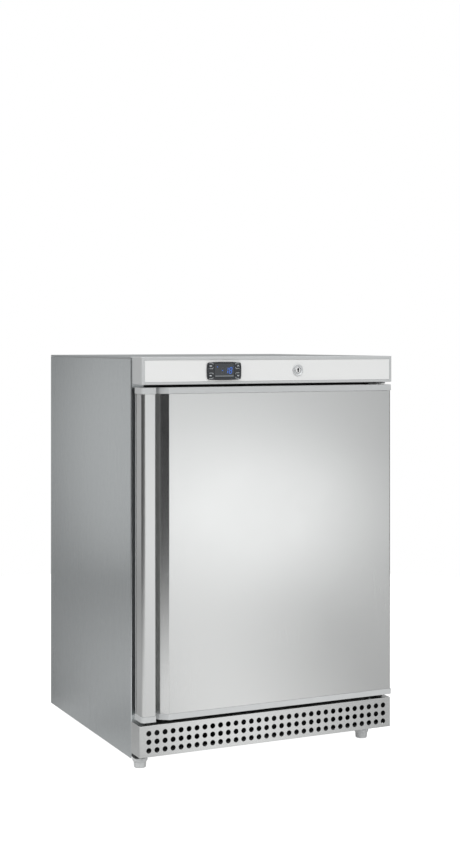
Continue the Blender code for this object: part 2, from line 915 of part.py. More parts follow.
bush_high = turned(
    "hinge_bush_top",
    [(8.5, 792.6), (8.5, 791.9), (6.1, 791.9), (6.1, 780.0), (4.4, 780.0), (4.4, 792.6)],
    (PIN_X, PIN_Y, 0),
    "Z",
    WHITE_PLASTIC,
)
bush_low = turned(
    "hinge_bush_bottom",
    [(6.1, 115.0), (6.1, 103.7), (8.5, 103.7), (8.5, 100.3), (4.4, 100.3), (4.4, 115.0)],
    (PIN_X, PIN_Y, 0),
    "Z",
    WHITE_PLASTIC,
)
pivot(
    "door_hinge_axis",
    (PIN_X, PIN_Y, (DOOR_LOW + DOOR_HIGH) / 2),
    [
        door_skin,
        door_foam,
        door_liner,
        door_gasket,
        handle_profile,
        cap_low,
        cap_high,
        bush_high,
        bush_low,
    ],
)

# ===================================================== evaporator shelves
SHELF_X, SHELF_FRONT, SHELF_BACK, SHELF_T = 248.5, -196.0, 198.0, 9.0
SHELVES = {
    "evaporator_shelf_low": 318.0,
    "evaporator_shelf_middle": 460.0,
    "evaporator_shelf_high": 602.0,
}
SLOTS, RAIL = 9, 12.0
for name, z in SHELVES.items():
    pitch = (SHELF_BACK - SHELF_FRONT - RAIL) / SLOTS
    slots = [
        [
            (-SHELF_X + 22, SHELF_FRONT + RAIL + pitch * k),
            (SHELF_X - 22, SHELF_FRONT + RAIL + pitch * k),
            (SHELF_X - 22, SHELF_FRONT + pitch * (k + 1)),
            (-SHELF_X + 22, SHELF_FRONT + pitch * (k + 1)),
        ]
        for k in range(SLOTS)
    ]
    frame = [
        (-SHELF_X, SHELF_FRONT),
        (SHELF_X, SHELF_FRONT),
        (SHELF_X, SHELF_BACK),
        (-SHELF_X, SHELF_BACK),
    ]
    extrusion(name, [frame] + slots, z, z + SHELF_T, "Z", EVAPORATOR)

probe = rod("temperature_probe", 3.0, (243.5, 0, 556), 96, 132, "Y", CHROME, 10)
add(probe, box("probe_clip", (241.5, 108, 552), (249.6, 120, 560)))

# ============================================================= compressor
COMP_X, COMP_Y = 40.0, 190.0
compressor = turned(
    "compressor",
    [
        (0, 205.0),
        (34, 203.0),
        (58, 194.0),
        (71, 176.0),
        (75, 150.0),
        (75, 124.0),
        (79, 122.0),
        (79, 118.0),
        (75, 116.0),
        (74, 84.0),
        (68, 60.0),
        (50, 46.0),
        (0, 42.0),
    ],
    (COMP_X, COMP_Y, 0),
    "Z",
    BLACK_PAINT,
    20,
)
add(
    compressor,
    box(
        "compressor_base",
        (COMP_X - 98, COMP_Y - 62, 41.0),
        (COMP_X + 98, COMP_Y + 62, 44.5),
        rounds=[("Z", {}, 14.0, 2)],
    ),
)
STUB_OUT = (COMP_X - 30.0, COMP_Y + 54.0, 150.0)
STUB_IN = (COMP_X + 30.0, COMP_Y + 54.0, 150.0)
for name, (x, y, z) in {"stub_out": STUB_OUT, "stub_in": STUB_IN}.items():
    add(compressor, rod(name, 4.5, (x, 0, z), y, y + 18, "Y", None, 8))
GROMMETS = [(-82.0, -46.0), (82.0, -46.0), (-82.0, 46.0), (82.0, 46.0)]
for number, (dx, dy) in enumerate(GROMMETS, 1):
    x, y = COMP_X + dx, COMP_Y + dy
    cut_rod([compressor], f"mount_{number}", 6.4, (x, y, 0), 30, 60, "Z", 12)
    turned(
        f"compressor_grommet_{number}",
        [
            (0, 50.0),
            (8.6, 49.0),
            (9.0, 44.9),
            (6.0, 44.9),
            (6.0, 40.6),
            (11.0, 40.6),
            (12.0, TRAY_LOW + 1.8),
            (0, TRAY_LOW + 1.8),
        ],
        (x, y, 0),
        "Z",
        RUBBER,
        12,
    )
terminal_cover = box(
    "terminal_cover",
    (COMP_X + 80.0, COMP_Y - 30, 80),
    (COMP_X + 122.0, COMP_Y + 30, 150),
    BLACK_PAINT,
    rounds=[("X", {}, 6.0, 2), ("Y", {"X": 1}, 4.0, 1)],
)

# ==================================================== condenser and lines
COIL_Y, COIL_R, COIL_X, COIL_PASSES, COIL_TOP, COIL_PITCH = 275.0, 2.6, 236.0, 11, 812.0, 50.0
coil = [
    Vector((STUB_OUT[0], STUB_OUT[1] + 18.4, STUB_OUT[2])),
    Vector((STUB_OUT[0], STUB_OUT[1] + 22, STUB_OUT[2])),
    Vector((STUB_OUT[0] - 2, STUB_OUT[1] + 27, STUB_OUT[2] + 1)),
    Vector((STUB_OUT[0] - 7, STUB_OUT[1] + 30, STUB_OUT[2] + 4)),
    Vector((STUB_OUT[0] - 16, COIL_Y, STUB_OUT[2] + 9)),
    Vector((-120, COIL_Y, 200)),
    Vector((-COIL_X - 22, COIL_Y, 232)),
    Vector((-COIL_X - 30, COIL_Y, 262)),
    Vector((-COIL_X - 30, COIL_Y, COIL_TOP - 22)),
    Vector((-COIL_X - 22, COIL_Y, COIL_TOP - 6)),
    Vector((-COIL_X - 6, COIL_Y, COIL_TOP)),
]
for k in range(COIL_PASSES):
    z, way = COIL_TOP - COIL_PITCH * k, 1 if k % 2 == 0 else -1
    coil.append(Vector((way * COIL_X, COIL_Y, z)))
    if k < COIL_PASSES - 1:
        for step in (36, 72, 108, 144):
            angle = math.radians(step)
            coil.append(
                Vector(
                    (
                        way * (COIL_X + COIL_PITCH / 2 * math.sin(angle)),
                        COIL_Y,
                        z - COIL_PITCH / 2 * (1 - math.cos(angle)),
                    )
                )
            )
        coil.append(Vector((way * COIL_X, COIL_Y, z - COIL_PITCH)))
DRIER_X, DRIER_TOP = 262.0, 282.0
coil += [
    Vector((COIL_X + 16, COIL_Y, COIL_TOP - COIL_PITCH * (COIL_PASSES - 1) - 5)),
    Vector((DRIER_X, COIL_Y, COIL_TOP - COIL_PITCH * (COIL_PASSES - 1) - 16)),
    Vector((DRIER_X, COIL_Y, DRIER_TOP + GAP)),
]
condenser_coil = tube("condenser_coil", coil, COIL_R, BLACK_PAINT)
filter_drier = turned(
    "filter_drier",
    [
        (0, DRIER_TOP),
        (3.4, DRIER_TOP),
        (3.4, 272),
        (9.0, 262),
        (9.0, 184),
        (3.0, 174),
        (1.6, 172),
        (1.6, 156),
        (0, 156),
    ],
    (DRIER_X, COIL_Y, 0),
    "Z",
    COPPER,
    12,
)
suction_line = tube(
    "suction_line",
    smooth_route(
        [
            (118, 258.9, 337),
            (118, 262.5, 337),
            (118, 265.4, 333),
            (118, 266, 322),
            (118, 266, 298),
            (117, 270, 262),
            (108, 276, 215),
            (92, 281, 172),
            (76, 279, 155),
            (STUB_IN[0], STUB_IN[1] + 26, STUB_IN[2]),
            (STUB_IN[0], STUB_IN[1] + 18.4, STUB_IN[2]),
        ],
        4,
    ),
    3.2,
    COPPER,
    2,
)
for side, label in ((-1, "left"), (1, "right")):
    x = side * 150.0
    strap = box(
        f"condenser_strap_{label}",
        (x - 6, REAR_SKIN + 1.3, 300),
        (x + 6, COIL_Y + 4.6, 824),
        ZINC,
    )
    cut_box(
        [strap],
        f"strap_channel_{label}",
        (x - 4.8, REAR_SKIN + 2.5, 290),
        (x + 4.8, 300, 830),
    )
    for k in range(COIL_PASSES):
        z = COIL_TOP - COIL_PITCH * k
        cut_box(
            [strap],
            f"strap_notch_{label}_{k}",
            (x - 10, COIL_Y - 3.2, z - 3.2),
            (x + 10, 300, z + 3.2),
        )

# cord inlet bush in the tray's rear flange; it can be blanked with a plug
GLAND_X, GLAND_Z = 220.0, 33.5
cut_rod([base_tray], "gland_hole", 6.9, (GLAND_X, 0, GLAND_Z), 270, 300, "Y", 12)
cord_gland = turned(
    "cord_gland",
    [
        (6.0, 292.0),
        (8.6, 290.5),
        (8.6, 287.1),
        (6.5, 287.1),
        (6.5, 279.0),
        (4.2, 279.0),
        (4.2, 292.0),
    ],
    (GLAND_X, 0, GLAND_Z),
    "Y",
    RUBBER,
    12,
)

for piece in parts.objects:
    if piece.type == "MESH":
        piece.data.shade_smooth()
        piece.data.set_sharp_from_angle(angle=math.radians(32))
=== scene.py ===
"""Looks of the undercounter freezer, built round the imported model.

Positions are in millimetres in the helpers (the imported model's own frame) and
turned into metres there: +X right, +Y back, +Z up, origin on the floor.
"""

import math

import bmesh
import bpy
from mathutils import Matrix, Vector


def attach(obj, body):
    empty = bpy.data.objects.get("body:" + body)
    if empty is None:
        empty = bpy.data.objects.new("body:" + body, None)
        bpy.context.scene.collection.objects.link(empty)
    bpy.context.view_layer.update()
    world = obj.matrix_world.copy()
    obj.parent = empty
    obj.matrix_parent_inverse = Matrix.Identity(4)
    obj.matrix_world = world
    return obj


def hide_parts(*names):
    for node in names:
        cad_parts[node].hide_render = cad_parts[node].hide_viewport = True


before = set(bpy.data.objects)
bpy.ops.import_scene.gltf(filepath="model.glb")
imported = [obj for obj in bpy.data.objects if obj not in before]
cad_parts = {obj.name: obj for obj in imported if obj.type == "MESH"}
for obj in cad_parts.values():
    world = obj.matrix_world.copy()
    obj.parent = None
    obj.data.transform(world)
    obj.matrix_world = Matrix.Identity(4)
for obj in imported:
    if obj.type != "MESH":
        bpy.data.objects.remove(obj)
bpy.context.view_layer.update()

MM = 0.001
scene = bpy.context.scene
scene.view_settings.view_transform = "Standard"


# ================================================================= materials
class Look:
    """A Principled material with helpers for procedural detail. Patterns read
    object coordinates, so they stay on the piece when it moves."""

    def __init__(self, name, colour, rough, metallic=0.0, **sockets):
        self.material = bpy.data.materials.new(name)
        self.material.use_nodes = True
        self.tree = self.material.node_tree
        self.shader = self.tree.nodes["Principled BSDF"]
        self.colour = colour
        self.shader.inputs["Base Color"].default_value = (*colour, 1.0)
        self.shader.inputs["Roughness"].default_value = rough
        self.shader.inputs["Metallic"].default_value = metallic
        for socket, value in sockets.items():
            self.shader.inputs[socket.replace("_", " ")].default_value = value
        self.place = self.add("ShaderNodeTexCoord").outputs["Object"]
        self.normal = None

    def add(self, kind, **settings):
        node = self.tree.nodes.new(kind)
        for key, value in settings.items():
            setattr(node, key, value)
        return node

    def link(self, out, into):
        self.tree.links.new(out, into)

    def noise(self, per_metre, detail=2.0, stretch=(1, 1, 1), rough=0.5, distort=0.0):
        mapping = self.add("ShaderNodeMapping")
        mapping.inputs["Scale"].default_value = [per_metre * s for s in stretch]
        self.link(self.place, mapping.inputs["Vector"])
        node = self.add("ShaderNodeTexNoise")
        node.inputs["Scale"].default_value = 1.0
        node.inputs["Detail"].default_value = detail
        node.inputs["Roughness"].default_value = rough
        node.inputs["Distortion"].default_value = distort
        self.link(mapping.outputs["Vector"], node.inputs["Vector"])
        return node.outputs["Fac"]

    def cells(self, per_metre, feature="F1", stretch=(1, 1, 1)):
        mapping = self.add("ShaderNodeMapping")
        mapping.inputs["Scale"].default_value = [per_metre * s for s in stretch]
        self.link(self.place, mapping.inputs["Vector"])
        node = self.add("ShaderNodeTexVoronoi", feature=feature)
        node.inputs["Scale"].default_value = 1.0
        self.link(mapping.outputs["Vector"], node.inputs["Vector"])
        return node

    def spread(self, value, low, high, start=0.3, end=0.7):
        node = self.add("ShaderNodeMapRange")
        for key, number in zip(
            ("From Min", "From Max", "To Min", "To Max"), (start, end, low, high)
        ):
            node.inputs[key].default_value = number
        self.link(value, node.inputs["Value"])
        return node.outputs["Result"]

    def total(self, a, b, operation="ADD"):
        node = self.add("ShaderNodeMath", operation=operation)
        for i, term in enumerate((a, b)):
            if isinstance(term, (int, float)):
                node.inputs[i].default_value = term
            else:
                self.link(term, node.inputs[i])
        return node.outputs[0]

    def rough(self, value):
        self.link(value, self.shader.inputs["Roughness"])
        return self

    def tint(self, value, low, high):
        """Base colour between two colours, by a 0 to 1 value."""
        node = self.add("ShaderNodeMix", data_type="RGBA")
        node.inputs["A"].default_value = (*low, 1.0)
        node.inputs["B"].default_value = (*high, 1.0)
        for socket in node.inputs:
            if socket.name == "A" and socket.type == "RGBA":
                socket.default_value = (*low, 1.0)
            if socket.name == "B" and socket.type == "RGBA":
                socket.default_value = (*high, 1.0)
        self.link(value, node.inputs["Factor"])
        out = next(o for o in node.outputs if o.type == "RGBA")
        self.link(out, self.shader.inputs["Base Color"])
        return self

    def vary(self, value, share):
        """Base colour a share lighter and darker, by a 0 to 1 value."""
        return self.tint(
            value,
            tuple(c * (1 - share) for c in self.colour),
            tuple(min(1.0, c * (1 + share)) for c in self.colour),
        )

    def bump(self, height, depth_mm, strength=1.0):
        node = self.add("ShaderNodeBump")
        node.inputs["Strength"].default_value = strength
        node.inputs["Distance"].default_value = depth_mm * MM
        self.link(height, node.inputs["Height"])
        if self.normal:
            self.link(self.normal, node.inputs["Normal"])
        self.normal = node.outputs["Normal"]
        self.link(self.normal, self.shader.inputs["Normal"])
        return self


GRAIN = {"X": (0.012, 1, 1), "Y": (1, 0.012, 1), "Z": (1, 1, 0.012)}


def brushed(name, colour, rough, along="Z", lines=0.011, across=0.02, soft=0.012, **sockets):
    """Ground stainless sheet: fine lines along the grain, broader faint bands
    and cloudy patches left by handling."""
    look = Look(name, colour, rough, 1.0, **sockets)
    fine = look.noise(2600, 3.0, GRAIN[along])
    band = look.noise(260, 2.0, GRAIN[along])
    cloud = look.noise(6, 3.0, (1, 1, 1), 0.55)
    amount = look.total(
        look.spread(fine, rough - across, rough + across, 0.25, 0.75),
        look.spread(cloud, -soft, soft, 0.3, 0.7),
    )
    look.rough(look.total(amount, look.spread(band, -0.005, 0.005)))
    shade = look.total(
        look.total(look.spread(fine, 0.0, 0.7), look.spread(band, 0.0, 0.12)),
        look.spread(cloud, 0.0, 0.18),
    )
    look.vary(shade, 0.016)
    look.bump(fine, lines)
    return look.material


def satin_sheet(name, colour, rough, metallic=1.0, cloud=0.03, pebbled=0.004, **sockets):
    """Matt rolled or coated sheet with a faint pebble and cloudiness."""
    look = Look(name, colour, rough, metallic, **sockets)
    pebble = look.noise(1400, 2.0)
    patches = look.noise(9, 4.0, (1, 1, 0.35), 0.6)
    look.rough(
        look.total(
            look.spread(pebble, rough - 0.015, rough + 0.015),
            look.spread(patches, -cloud, cloud),
        )
    )
    look.vary(look.total(look.spread(pebble, 0, 0.4), look.spread(patches, 0, 0.6)), 0.008)
    look.bump(pebble, pebbled)
    return look.material


def moulded(name, colour, rough, grain=0.03, vary=0.03, per_metre=900, **sockets):
    """Injection-moulded plastic with a spark-eroded grain."""
    look = Look(name, colour, rough, 0.0, **sockets)
    grit = look.cells(per_metre)
    flow = look.noise(28, 3.0)
    look.rough(look.spread(flow, rough - 0.05, rough + 0.06))
    look.vary(flow, vary)
    look.bump(grit.outputs["Distance"], grain, 0.6)
    return look.material


def coated(
    name, colour, rough, peel=0.05, per_metre=170, metallic=0.0, vary=0.03, patch=0.02, **sockets
):
    """Baked or dipped paint with a slight orange peel."""
    look = Look(name, colour, rough, metallic, **sockets)
    peel_value = look.noise(per_metre, 1.5)
    dust = look.noise(16, 4.0, (1, 1, 1), 0.65)
    look.rough(look.spread(dust, rough - patch, rough + patch))
    look.vary(dust, vary)
    look.bump(peel_value, peel)
    return look.material


def galvanised(name, colour, rough):
    """Zinc-coated steel: soft crystal flakes and a dull bloom."""
    look = Look(name, colour, rough, 1.0)
    flakes = look.cells(115)
    bloom = look.noise(14, 4.0)
    look.rough(
        look.total(
            look.spread(flakes.outputs["Color"], rough - 0.09, rough + 0.09, 0.0, 1.0),
            look.spread(bloom, -0.04, 0.06),
        )
    )
    look.vary(
        look.total(
            look.spread(flakes.outputs["Color"], 0.0, 0.6, 0.0, 1.0),
            look.spread(bloom, 0.0, 0.4),
        ),
        0.11,
    )
    look.bump(look.noise(700, 2.0), 0.01)
    return look.material


def rubbery(name, colour, rough, vary=0.12):
    look = Look(name, colour, rough, 0.0)
    skin = look.noise(1100, 2.0)
    bloom = look.noise(24, 4.0)
    look.rough(look.spread(bloom, rough - 0.08, rough + 0.08))
    look.vary(bloom, vary)
    look.bump(skin, 0.03)
    return look.material


def copper_look(name):
    """Drawn copper tube, a little browned where it was handled and brazed."""
    look = Look(name, (0.72, 0.38, 0.22), 0.3, 1.0)
    stain = look.noise(38, 4.0, (1, 1, 0.5), 0.6, 0.4)
    drawn = look.noise(900, 2.0, (1, 1, 0.05))
    look.tint(look.spread(stain, 0.0, 1.0, 0.35, 0.75), (0.80, 0.44, 0.27), (0.50, 0.25, 0.14))
    look.rough(look.spread(stain, 0.24, 0.46))
    look.bump(drawn, 0.008)
    return look.material


def foam_look(name):
    look = Look(name, (0.80, 0.70, 0.42), 0.85)
    bubble = look.cells(420)
    age = look.noise(20, 4.0)
    look.tint(look.spread(age, 0.0, 1.0), (0.84, 0.75, 0.48), (0.70, 0.57, 0.30))
    look.bump(bubble.outputs["Distance"], 0.5, 0.7)
    return look.material


def glow(name, colour, strength, grain=0.12):
    look = Look(name, (0.02, 0.03, 0.06), 0.3)
    look.shader.inputs["Emission Strength"].default_value = strength
    value = look.noise(900, 1.0)
    node = look.add("ShaderNodeMix", data_type="RGBA")
    for socket in node.inputs:
        if socket.type == "RGBA" and socket.name == "A":
            socket.default_value = (*(c * (1 - grain) for c in colour), 1.0)
        if socket.type == "RGBA" and socket.name == "B":
            socket.default_value = (*(min(1, c * (1 + grain)) for c in colour), 1.0)
    look.link(value, node.inputs["Factor"])
    look.link(
        next(o for o in node.outputs if o.type == "RGBA"),
        look.shader.inputs["Emission Color"],
    )
    return look.material


DOOR_STEEL = brushed("door_steel", (0.66, 0.665, 0.66), 0.25, "Z")
HANDLE_STEEL = brushed("handle_steel", (0.66, 0.665, 0.66), 0.31, "Z")
KICK_STEEL = brushed("kick_steel", (0.66, 0.665, 0.66), 0.26, "X")
SIDE_STEEL = satin_sheet("side_steel", (0.592, 0.617, 0.625), 0.27, cloud=0.006, pebbled=0.0006)
LID_STEEL = satin_sheet("lid_steel", (0.57, 0.59, 0.595), 0.32, cloud=0.01, pebbled=0.001)
FASCIA_GREY = coated("fascia_grey", (0.58, 0.59, 0.59), 0.36, 0.03, 240, 0.0)
FASCIA_WHITE = coated("fascia_white", (0.885, 0.885, 0.875), 0.32, 0.02, 300, vary=0.006, patch=0.006)
CAP_GREY = moulded("cap_grey", (0.57, 0.58, 0.58), 0.42)
FOOT_GREY = moulded("foot_grey", (0.68, 0.69, 0.69), 0.48)
CHARCOAL = moulded("controller_charcoal", (0.026, 0.029, 0.033), 0.42, 0.02, 0.1, 1500)
KEY_CHARCOAL = moulded("key_charcoal", (0.032, 0.036, 0.041), 0.48, 0.02, 0.1, 1500)
CHROME = brushed("lock_chrome", (0.88, 0.88, 0.88), 0.27, "Z", 0.003, 0.03, 0.03)
LOCK_RING = satin_sheet("lock_ring", (0.70, 0.71, 0.715), 0.46, 0.6)
PIN_STEEL = brushed("pin_steel", (0.66, 0.66, 0.67), 0.26, "X", 0.005)
ZINC = galvanised("zinc_sheet", (0.56, 0.58, 0.59), 0.42)
BRACKET_GREY = coated("bracket_grey", (0.62, 0.63, 0.64), 0.4, 0.02, 300)
# black paint, also used as painted shade: the tray, floor pan, header front, kick plate's inner faces and lower
# hinge bracket are black so they read as shade
BLACK_AND_PAINTED_SHADE = coated("black_and_painted_shade", (0.018, 0.018, 0.019), 0.6, 0.04, 260, 0.0, 0.2)
LINER_WHITE = coated("liner_white", (0.80, 0.81, 0.805), 0.34, 0.008, 420, vary=0.008, patch=0.008)
# the seal's near-black is partly its own dark rubber and partly painted shade that darkens the gap round the door
SEAL_DARK_AND_PAINTED_SHADE = rubbery("seal_grey", (0.085, 0.088, 0.092), 0.55, 0.08)
BLACK_RUBBER = rubbery("black_rubber", (0.035, 0.035, 0.036), 0.72)
COMPRESSOR_BLACK = coated("compressor_black", (0.022, 0.022, 0.024), 0.33, 0.12, 120, 0.0, 0.2)
CONDENSER_BLACK = coated("condenser_black", (0.025, 0.025, 0.026), 0.42, 0.05, 300, 0.0, 0.2)
TERMINAL_BLACK = moulded("terminal_black", (0.028, 0.028, 0.030), 0.5)
COPPER = copper_look("copper")
EVAPORATOR = coated("evaporator_white", (0.80, 0.81, 0.81), 0.30, 0.015, 500, vary=0.015)
NYLON = moulded("bush_nylon", (0.78, 0.78, 0.75), 0.4, 0.015)
FOAM = foam_look("insulation")
# painted shade: near-black for the door foam's and liner's exposed edges in the gap round the door
PAINTED_SHADE_EDGE = rubbery("painted_shade_edge", (0.10, 0.10, 0.102), 0.6)
# painted shade: near-black for the keyway's walls and the shutter in it
KEYWAY_PAINTED_SHADE = rubbery("keyway_painted_shade", (0.01, 0.01, 0.01), 0.7)
BLUE_GLOW = glow("segments_blue", (0.030, 0.135, 0.60), 0.95)
BLUE_DIM = glow("indicator_blue", (0.030, 0.110, 0.50), 0.5)


def lens_look():
    look = Look("display_lens", (0.050, 0.055, 0.060), 0.2, 0.0)
    smoke = look.noise(60, 2.0)
    look.vary(smoke, 0.12)
    look.rough(look.spread(smoke, 0.17, 0.24))
    return look.material


LENS = lens_look()
GHOST = moulded("segments_off", (0.055, 0.060, 0.066), 0.3, 0.005, 0.05, 1500)
PRINT_PALE = moulded("print_pale", (0.74, 0.78, 0.80), 0.5, 0.005, 0.05, 1500)
PRINT_DIM = moulded("print_dim", (0.30, 0.32, 0.335), 0.5, 0.005, 0.05, 1500)


# =================================================================== meshes
def at(axis, a, b, h):
    return {"X": (h, a, b), "Y": (a, h, b), "Z": (a, b, h)}[axis]


def rounded(points, radii, segments=8, closed=True):
    """The polygon with each corner replaced by an arc of its radius."""
    made = []
    count = len(points)
    if isinstance(radii, (int, float)):
        radii = [radii] * count
    for i, (point, radius) in enumerate(zip(points, radii)):
        if radius <= 0 or (not closed and i in (0, count - 1)):
            made.append(tuple(point))
            continue
        here = Vector(point)
        before = (Vector(points[i - 1]) - here).normalized()
        after = (Vector(points[(i + 1) % count]) - here).normalized()
        half = before.angle(after) / 2
        painted_light = radius / math.tan(half)
        centre = here + (before + after).normalized() * radius / math.sin(half)
        start, end = here + before * painted_light - centre, here + after * painted_light - centre
        sweep = math.atan2(start.cross(end), start.dot(end))
        for k in range(segments + 1):
            turn = Matrix.Rotation(sweep * k / segments, 2)
            made.append(tuple(centre + turn @ start))
    return made


def rectangle(low_a, low_b, high_a, high_b, corner=0.0, segments=6):
    return rounded(
        [(low_a, low_b), (high_a, low_b), (high_a, high_b), (low_a, high_b)],
        corner,
        segments,
    )


def circle(a, b, radius, sides=32):
    return [
        (
            a + radius * math.cos(2 * math.pi * k / sides),
            b + radius * math.sin(2 * math.pi * k / sides),
        )
        for k in range(sides)
    ]


def offset(path, distance):
    """The open path moved to its right by a distance, with mitred corners."""
    moved = []
    for i, point in enumerate(path):
        here = Vector(point)
        sides = []
        if i:
            sides.append((here - Vector(path[i - 1])).normalized())
        if i < len(path) - 1:
            sides.append((Vector(path[i + 1]) - here).normalized())
        rights = [Vector((d.y, -d.x)) for d in sides]
        middle = sum(rights, Vector((0.0, 0.0))).normalized()
        moved.append(tuple(here + middle * distance / middle.dot(rights[0])))
    return moved


def folded(path, thickness):
    """The outline of a sheet whose outer face follows an open path."""
    return list(path) + offset(path, thickness)[::-1]


def wound(loop, counter):
    area = sum(
        a[0] * b[1] - b[0] * a[1] for a, b in zip(loop, loop[1:] + loop[:1])
    )
    return list(loop) if (area > 0) == counter else list(loop)[::-1]


def inset(loop, distance):
    """Each point moved to the left of its loop, with mitred corners."""
    if not distance:
        return list(loop)
    made, count = [], len(loop)
    for i in range(count):
        here = Vector(loop[i])
        one = here - Vector(loop[i - 1])
        two = Vector(loop[(i + 1) % count]) - here
        if one.length < 1e-7:
            one = two.copy()
        if two.length < 1e-7:
            two = one.copy()
        one.normalize()
        two.normalize()
        lefts = Vector((-one.y, one.x)), Vector((-two.y, two.x))
        middle = lefts[0] + lefts[1]
        middle = lefts[0] if middle.length < 1e-6 else middle.normalized()
        made.append(tuple(here + middle * distance / max(middle.dot(lefts[0]), 0.35)))
    return made


def strip(bm, one, two):
    count = len(one)
    for i in range(count):
        j = (i + 1) % count
        bm.faces.new((one[i], one[j], two[j], two[i]))


def levels(low, high, edge, steps):
    """(inset, height) pairs that round both rims of a plate."""
    if edge <= 0:
        return [(0.0, low), (0.0, high)]
    quarter = [math.pi / 2 * k / steps for k in range(steps + 1)]
    under = [(edge * (1 - math.sin(t)), low + edge * (1 - math.cos(t))) for t in quarter]
    return under + [(d, low + high - h) for d, h in under[::-1]]


def add_plate(bm, loops, low, high, axis="Z", edge=0.3, steps=3):
    """A plate with holes, its rims rounded. The first loop is its outline."""
    edges = edge if isinstance(edge, (list, tuple)) else [edge] * len(loops)
    caps = [[], []]
    for number, loop in enumerate(loops):
        loop = wound(loop, number == 0)
        rings = [
            [bm.verts.new(at(axis, a, b, h)) for a, b in inset(loop, d)]
            for d, h in levels(low, high, edges[number], steps)
        ]
        for one, two in zip(rings, rings[1:]):
            strip(bm, one, two)
        caps[0].append(rings[0])
        caps[1].append(rings[-1])
    for rings in caps:
        if len(rings) == 1:
            bm.faces.new(rings[0])
            continue
        drawn = [
            bm.edges.get((ring[i], ring[(i + 1) % len(ring)]))
            for ring in rings
            for i in range(len(ring))
        ]
        bmesh.ops.triangle_fill(bm, edges=drawn, use_beauty=True)
    return bm


def add_shell(bm, outline, open_h, closed_h, wall, axis="Z", edge=1.2, steps=4):
    """A tray or lid: an outline with a floor at one end, open at the other."""
    way = 1.0 if closed_h > open_h else -1.0
    outline = wound(outline, True)
    quarter = [math.pi / 2 * k / steps for k in range(steps + 1)]
    outer = [(0.0, open_h)] + [
        (edge * (1 - math.cos(t)), closed_h - way * edge * (1 - math.sin(t)))
        for t in quarter
    ]
    inner_edge = max(edge - wall, 0.0)
    top = closed_h - way * wall
    inner = [(wall, open_h)] + (
        [
            (wall + inner_edge * (1 - math.cos(t)), top - way * inner_edge * (1 - math.sin(t)))
            for t in quarter
        ]
        if inner_edge
        else [(wall, top)]
    )
    rings = [
        [bm.verts.new(at(axis, a, b, h)) for a, b in inset(outline, d)]
        for d, h in inner[::-1] + outer
    ]
    for one, two in zip(rings, rings[1:]):
        strip(bm, one, two)
    bm.faces.new(rings[0])
    bm.faces.new(rings[-1])
    return bm


def add_box(bm, low, high, edge=0.3, steps=2, corner=None, axis="Z"):
    """A block with rounded edges all over."""
    order = {"X": (1, 2, 0), "Y": (0, 2, 1), "Z": (0, 1, 2)}[axis]
    a, b, h = order
    corner = edge if corner is None else corner
    loop = rectangle(low[a], low[b], high[a], high[b], corner, max(steps, 2))
    return add_plate(bm, [loop], low[h], high[h], axis, edge, steps)


def add_lathe(bm, profile, centre, axis="Z", steps=48, closed=False):
    """A (radius, height) profile spun about an axis. Points on the axis are
    poles; a closed profile makes a ring."""
    heights = {"X": 0, "Y": 1, "Z": 2}[axis]
    rings = []
    for radius, height in profile:
        place = list(centre)
        place[heights] = height
        others = [i for i in range(3) if i != heights]
        if radius < 1e-6:
            rings.append([bm.verts.new(place)])
            continue
        ring = []
        for k in range(steps):
            turn = 2 * math.pi * k / steps
            point = list(place)
            point[others[0]] += radius * math.cos(turn)
            point[others[1]] += radius * math.sin(turn)
            ring.append(bm.verts.new(point))
        rings.append(ring)
    pairs = list(zip(rings, rings[1:])) + ([(rings[-1], rings[0])] if closed else [])
    for one, two in pairs:
        if len(one) == 1 and len(two) == 1:
            continue
        if len(one) == 1:
            for k in range(steps):
                bm.faces.new((one[0], two[k], two[(k + 1) % steps]))
        elif len(two) == 1:
            for k in range(steps):
                bm.faces.new((two[0], one[k], one[(k + 1) % steps]))
        else:
            strip(bm, one, two)
    return bm


def add_tube(bm, points, radius, sides=12, radii=None):
    """A round bar swept along points, with closed ends."""
    points = [Vector(p) for p in points]
    count = len(points)
    tangents = []
    for i in range(count):
        one = points[max(i - 1, 0)]
        two = points[min(i + 1, count - 1)]
        tangents.append((two - one).normalized())
    up = Vector((0, 0, 1)) if abs(tangents[0].z) < 0.9 else Vector((1, 0, 0))
    side = tangents[0].cross(up).normalized()
    rings = []
    for i, (point, way) in enumerate(zip(points, tangents)):
        side = (side - way * side.dot(way)).normalized()
        other = way.cross(side)
        r = radii[i] if radii else radius
        rings.append(
            [
                bm.verts.new(
                    point
                    + side * (r * math.cos(2 * math.pi * k / sides))
                    + other * (r * math.sin(2 * math.pi * k / sides))
                )
                for k in range(sides)
            ]
        )
    for one, two in zip(rings, rings[1:]):
        strip(bm, one, two)
    bm.faces.new(rings[0])
    bm.faces.new(rings[-1])
    return bm


def smooth_route(points, per_span=8):
    """A Catmull-Rom curve through the points."""
    ends = [points[0], *points, points[-1]]
    made = []
    for i in range(1, len(ends) - 2):
        a, b, c, d = (Vector(p) for p in ends[i - 1 : i + 3])
        for k in range(per_span):
            t = k / per_span
            made.append(
                0.5
                * (
                    2 * b
                    + (c - a) * t
                    + (2 * a - 5 * b + 4 * c - d) * t * t
                    + (3 * b - a - 3 * c + d) * t**3
                )
            )
    made.append(Vector(points[-1]))
    return made


def filleted(points, radius, segments=8):
    """A route in space whose corners are arcs of a radius."""
    made = [Vector(points[0])]
    for before, here, after in zip(points, points[1:], points[2:]):
        here = Vector(here)
        one = (Vector(before) - here).normalized()
        two = (Vector(after) - here).normalized()
        angle = one.angle(two)
        if angle > math.pi - 0.01:
            made.append(here)
            continue
        painted_light = min(
            radius / math.tan(angle / 2),
            (Vector(before) - here).length * 0.499,
            (Vector(after) - here).length * 0.499,
        )
        r = painted_light * math.tan(angle / 2)
        centre = here + (one + two).normalized() * r / math.sin(angle / 2)
        start, end = here + one * painted_light - centre, here + two * painted_light - centre
        for k in range(segments + 1):
            made.append(centre + start.slerp(end, k / segments))
    made.append(Vector(points[-1]))
    return made


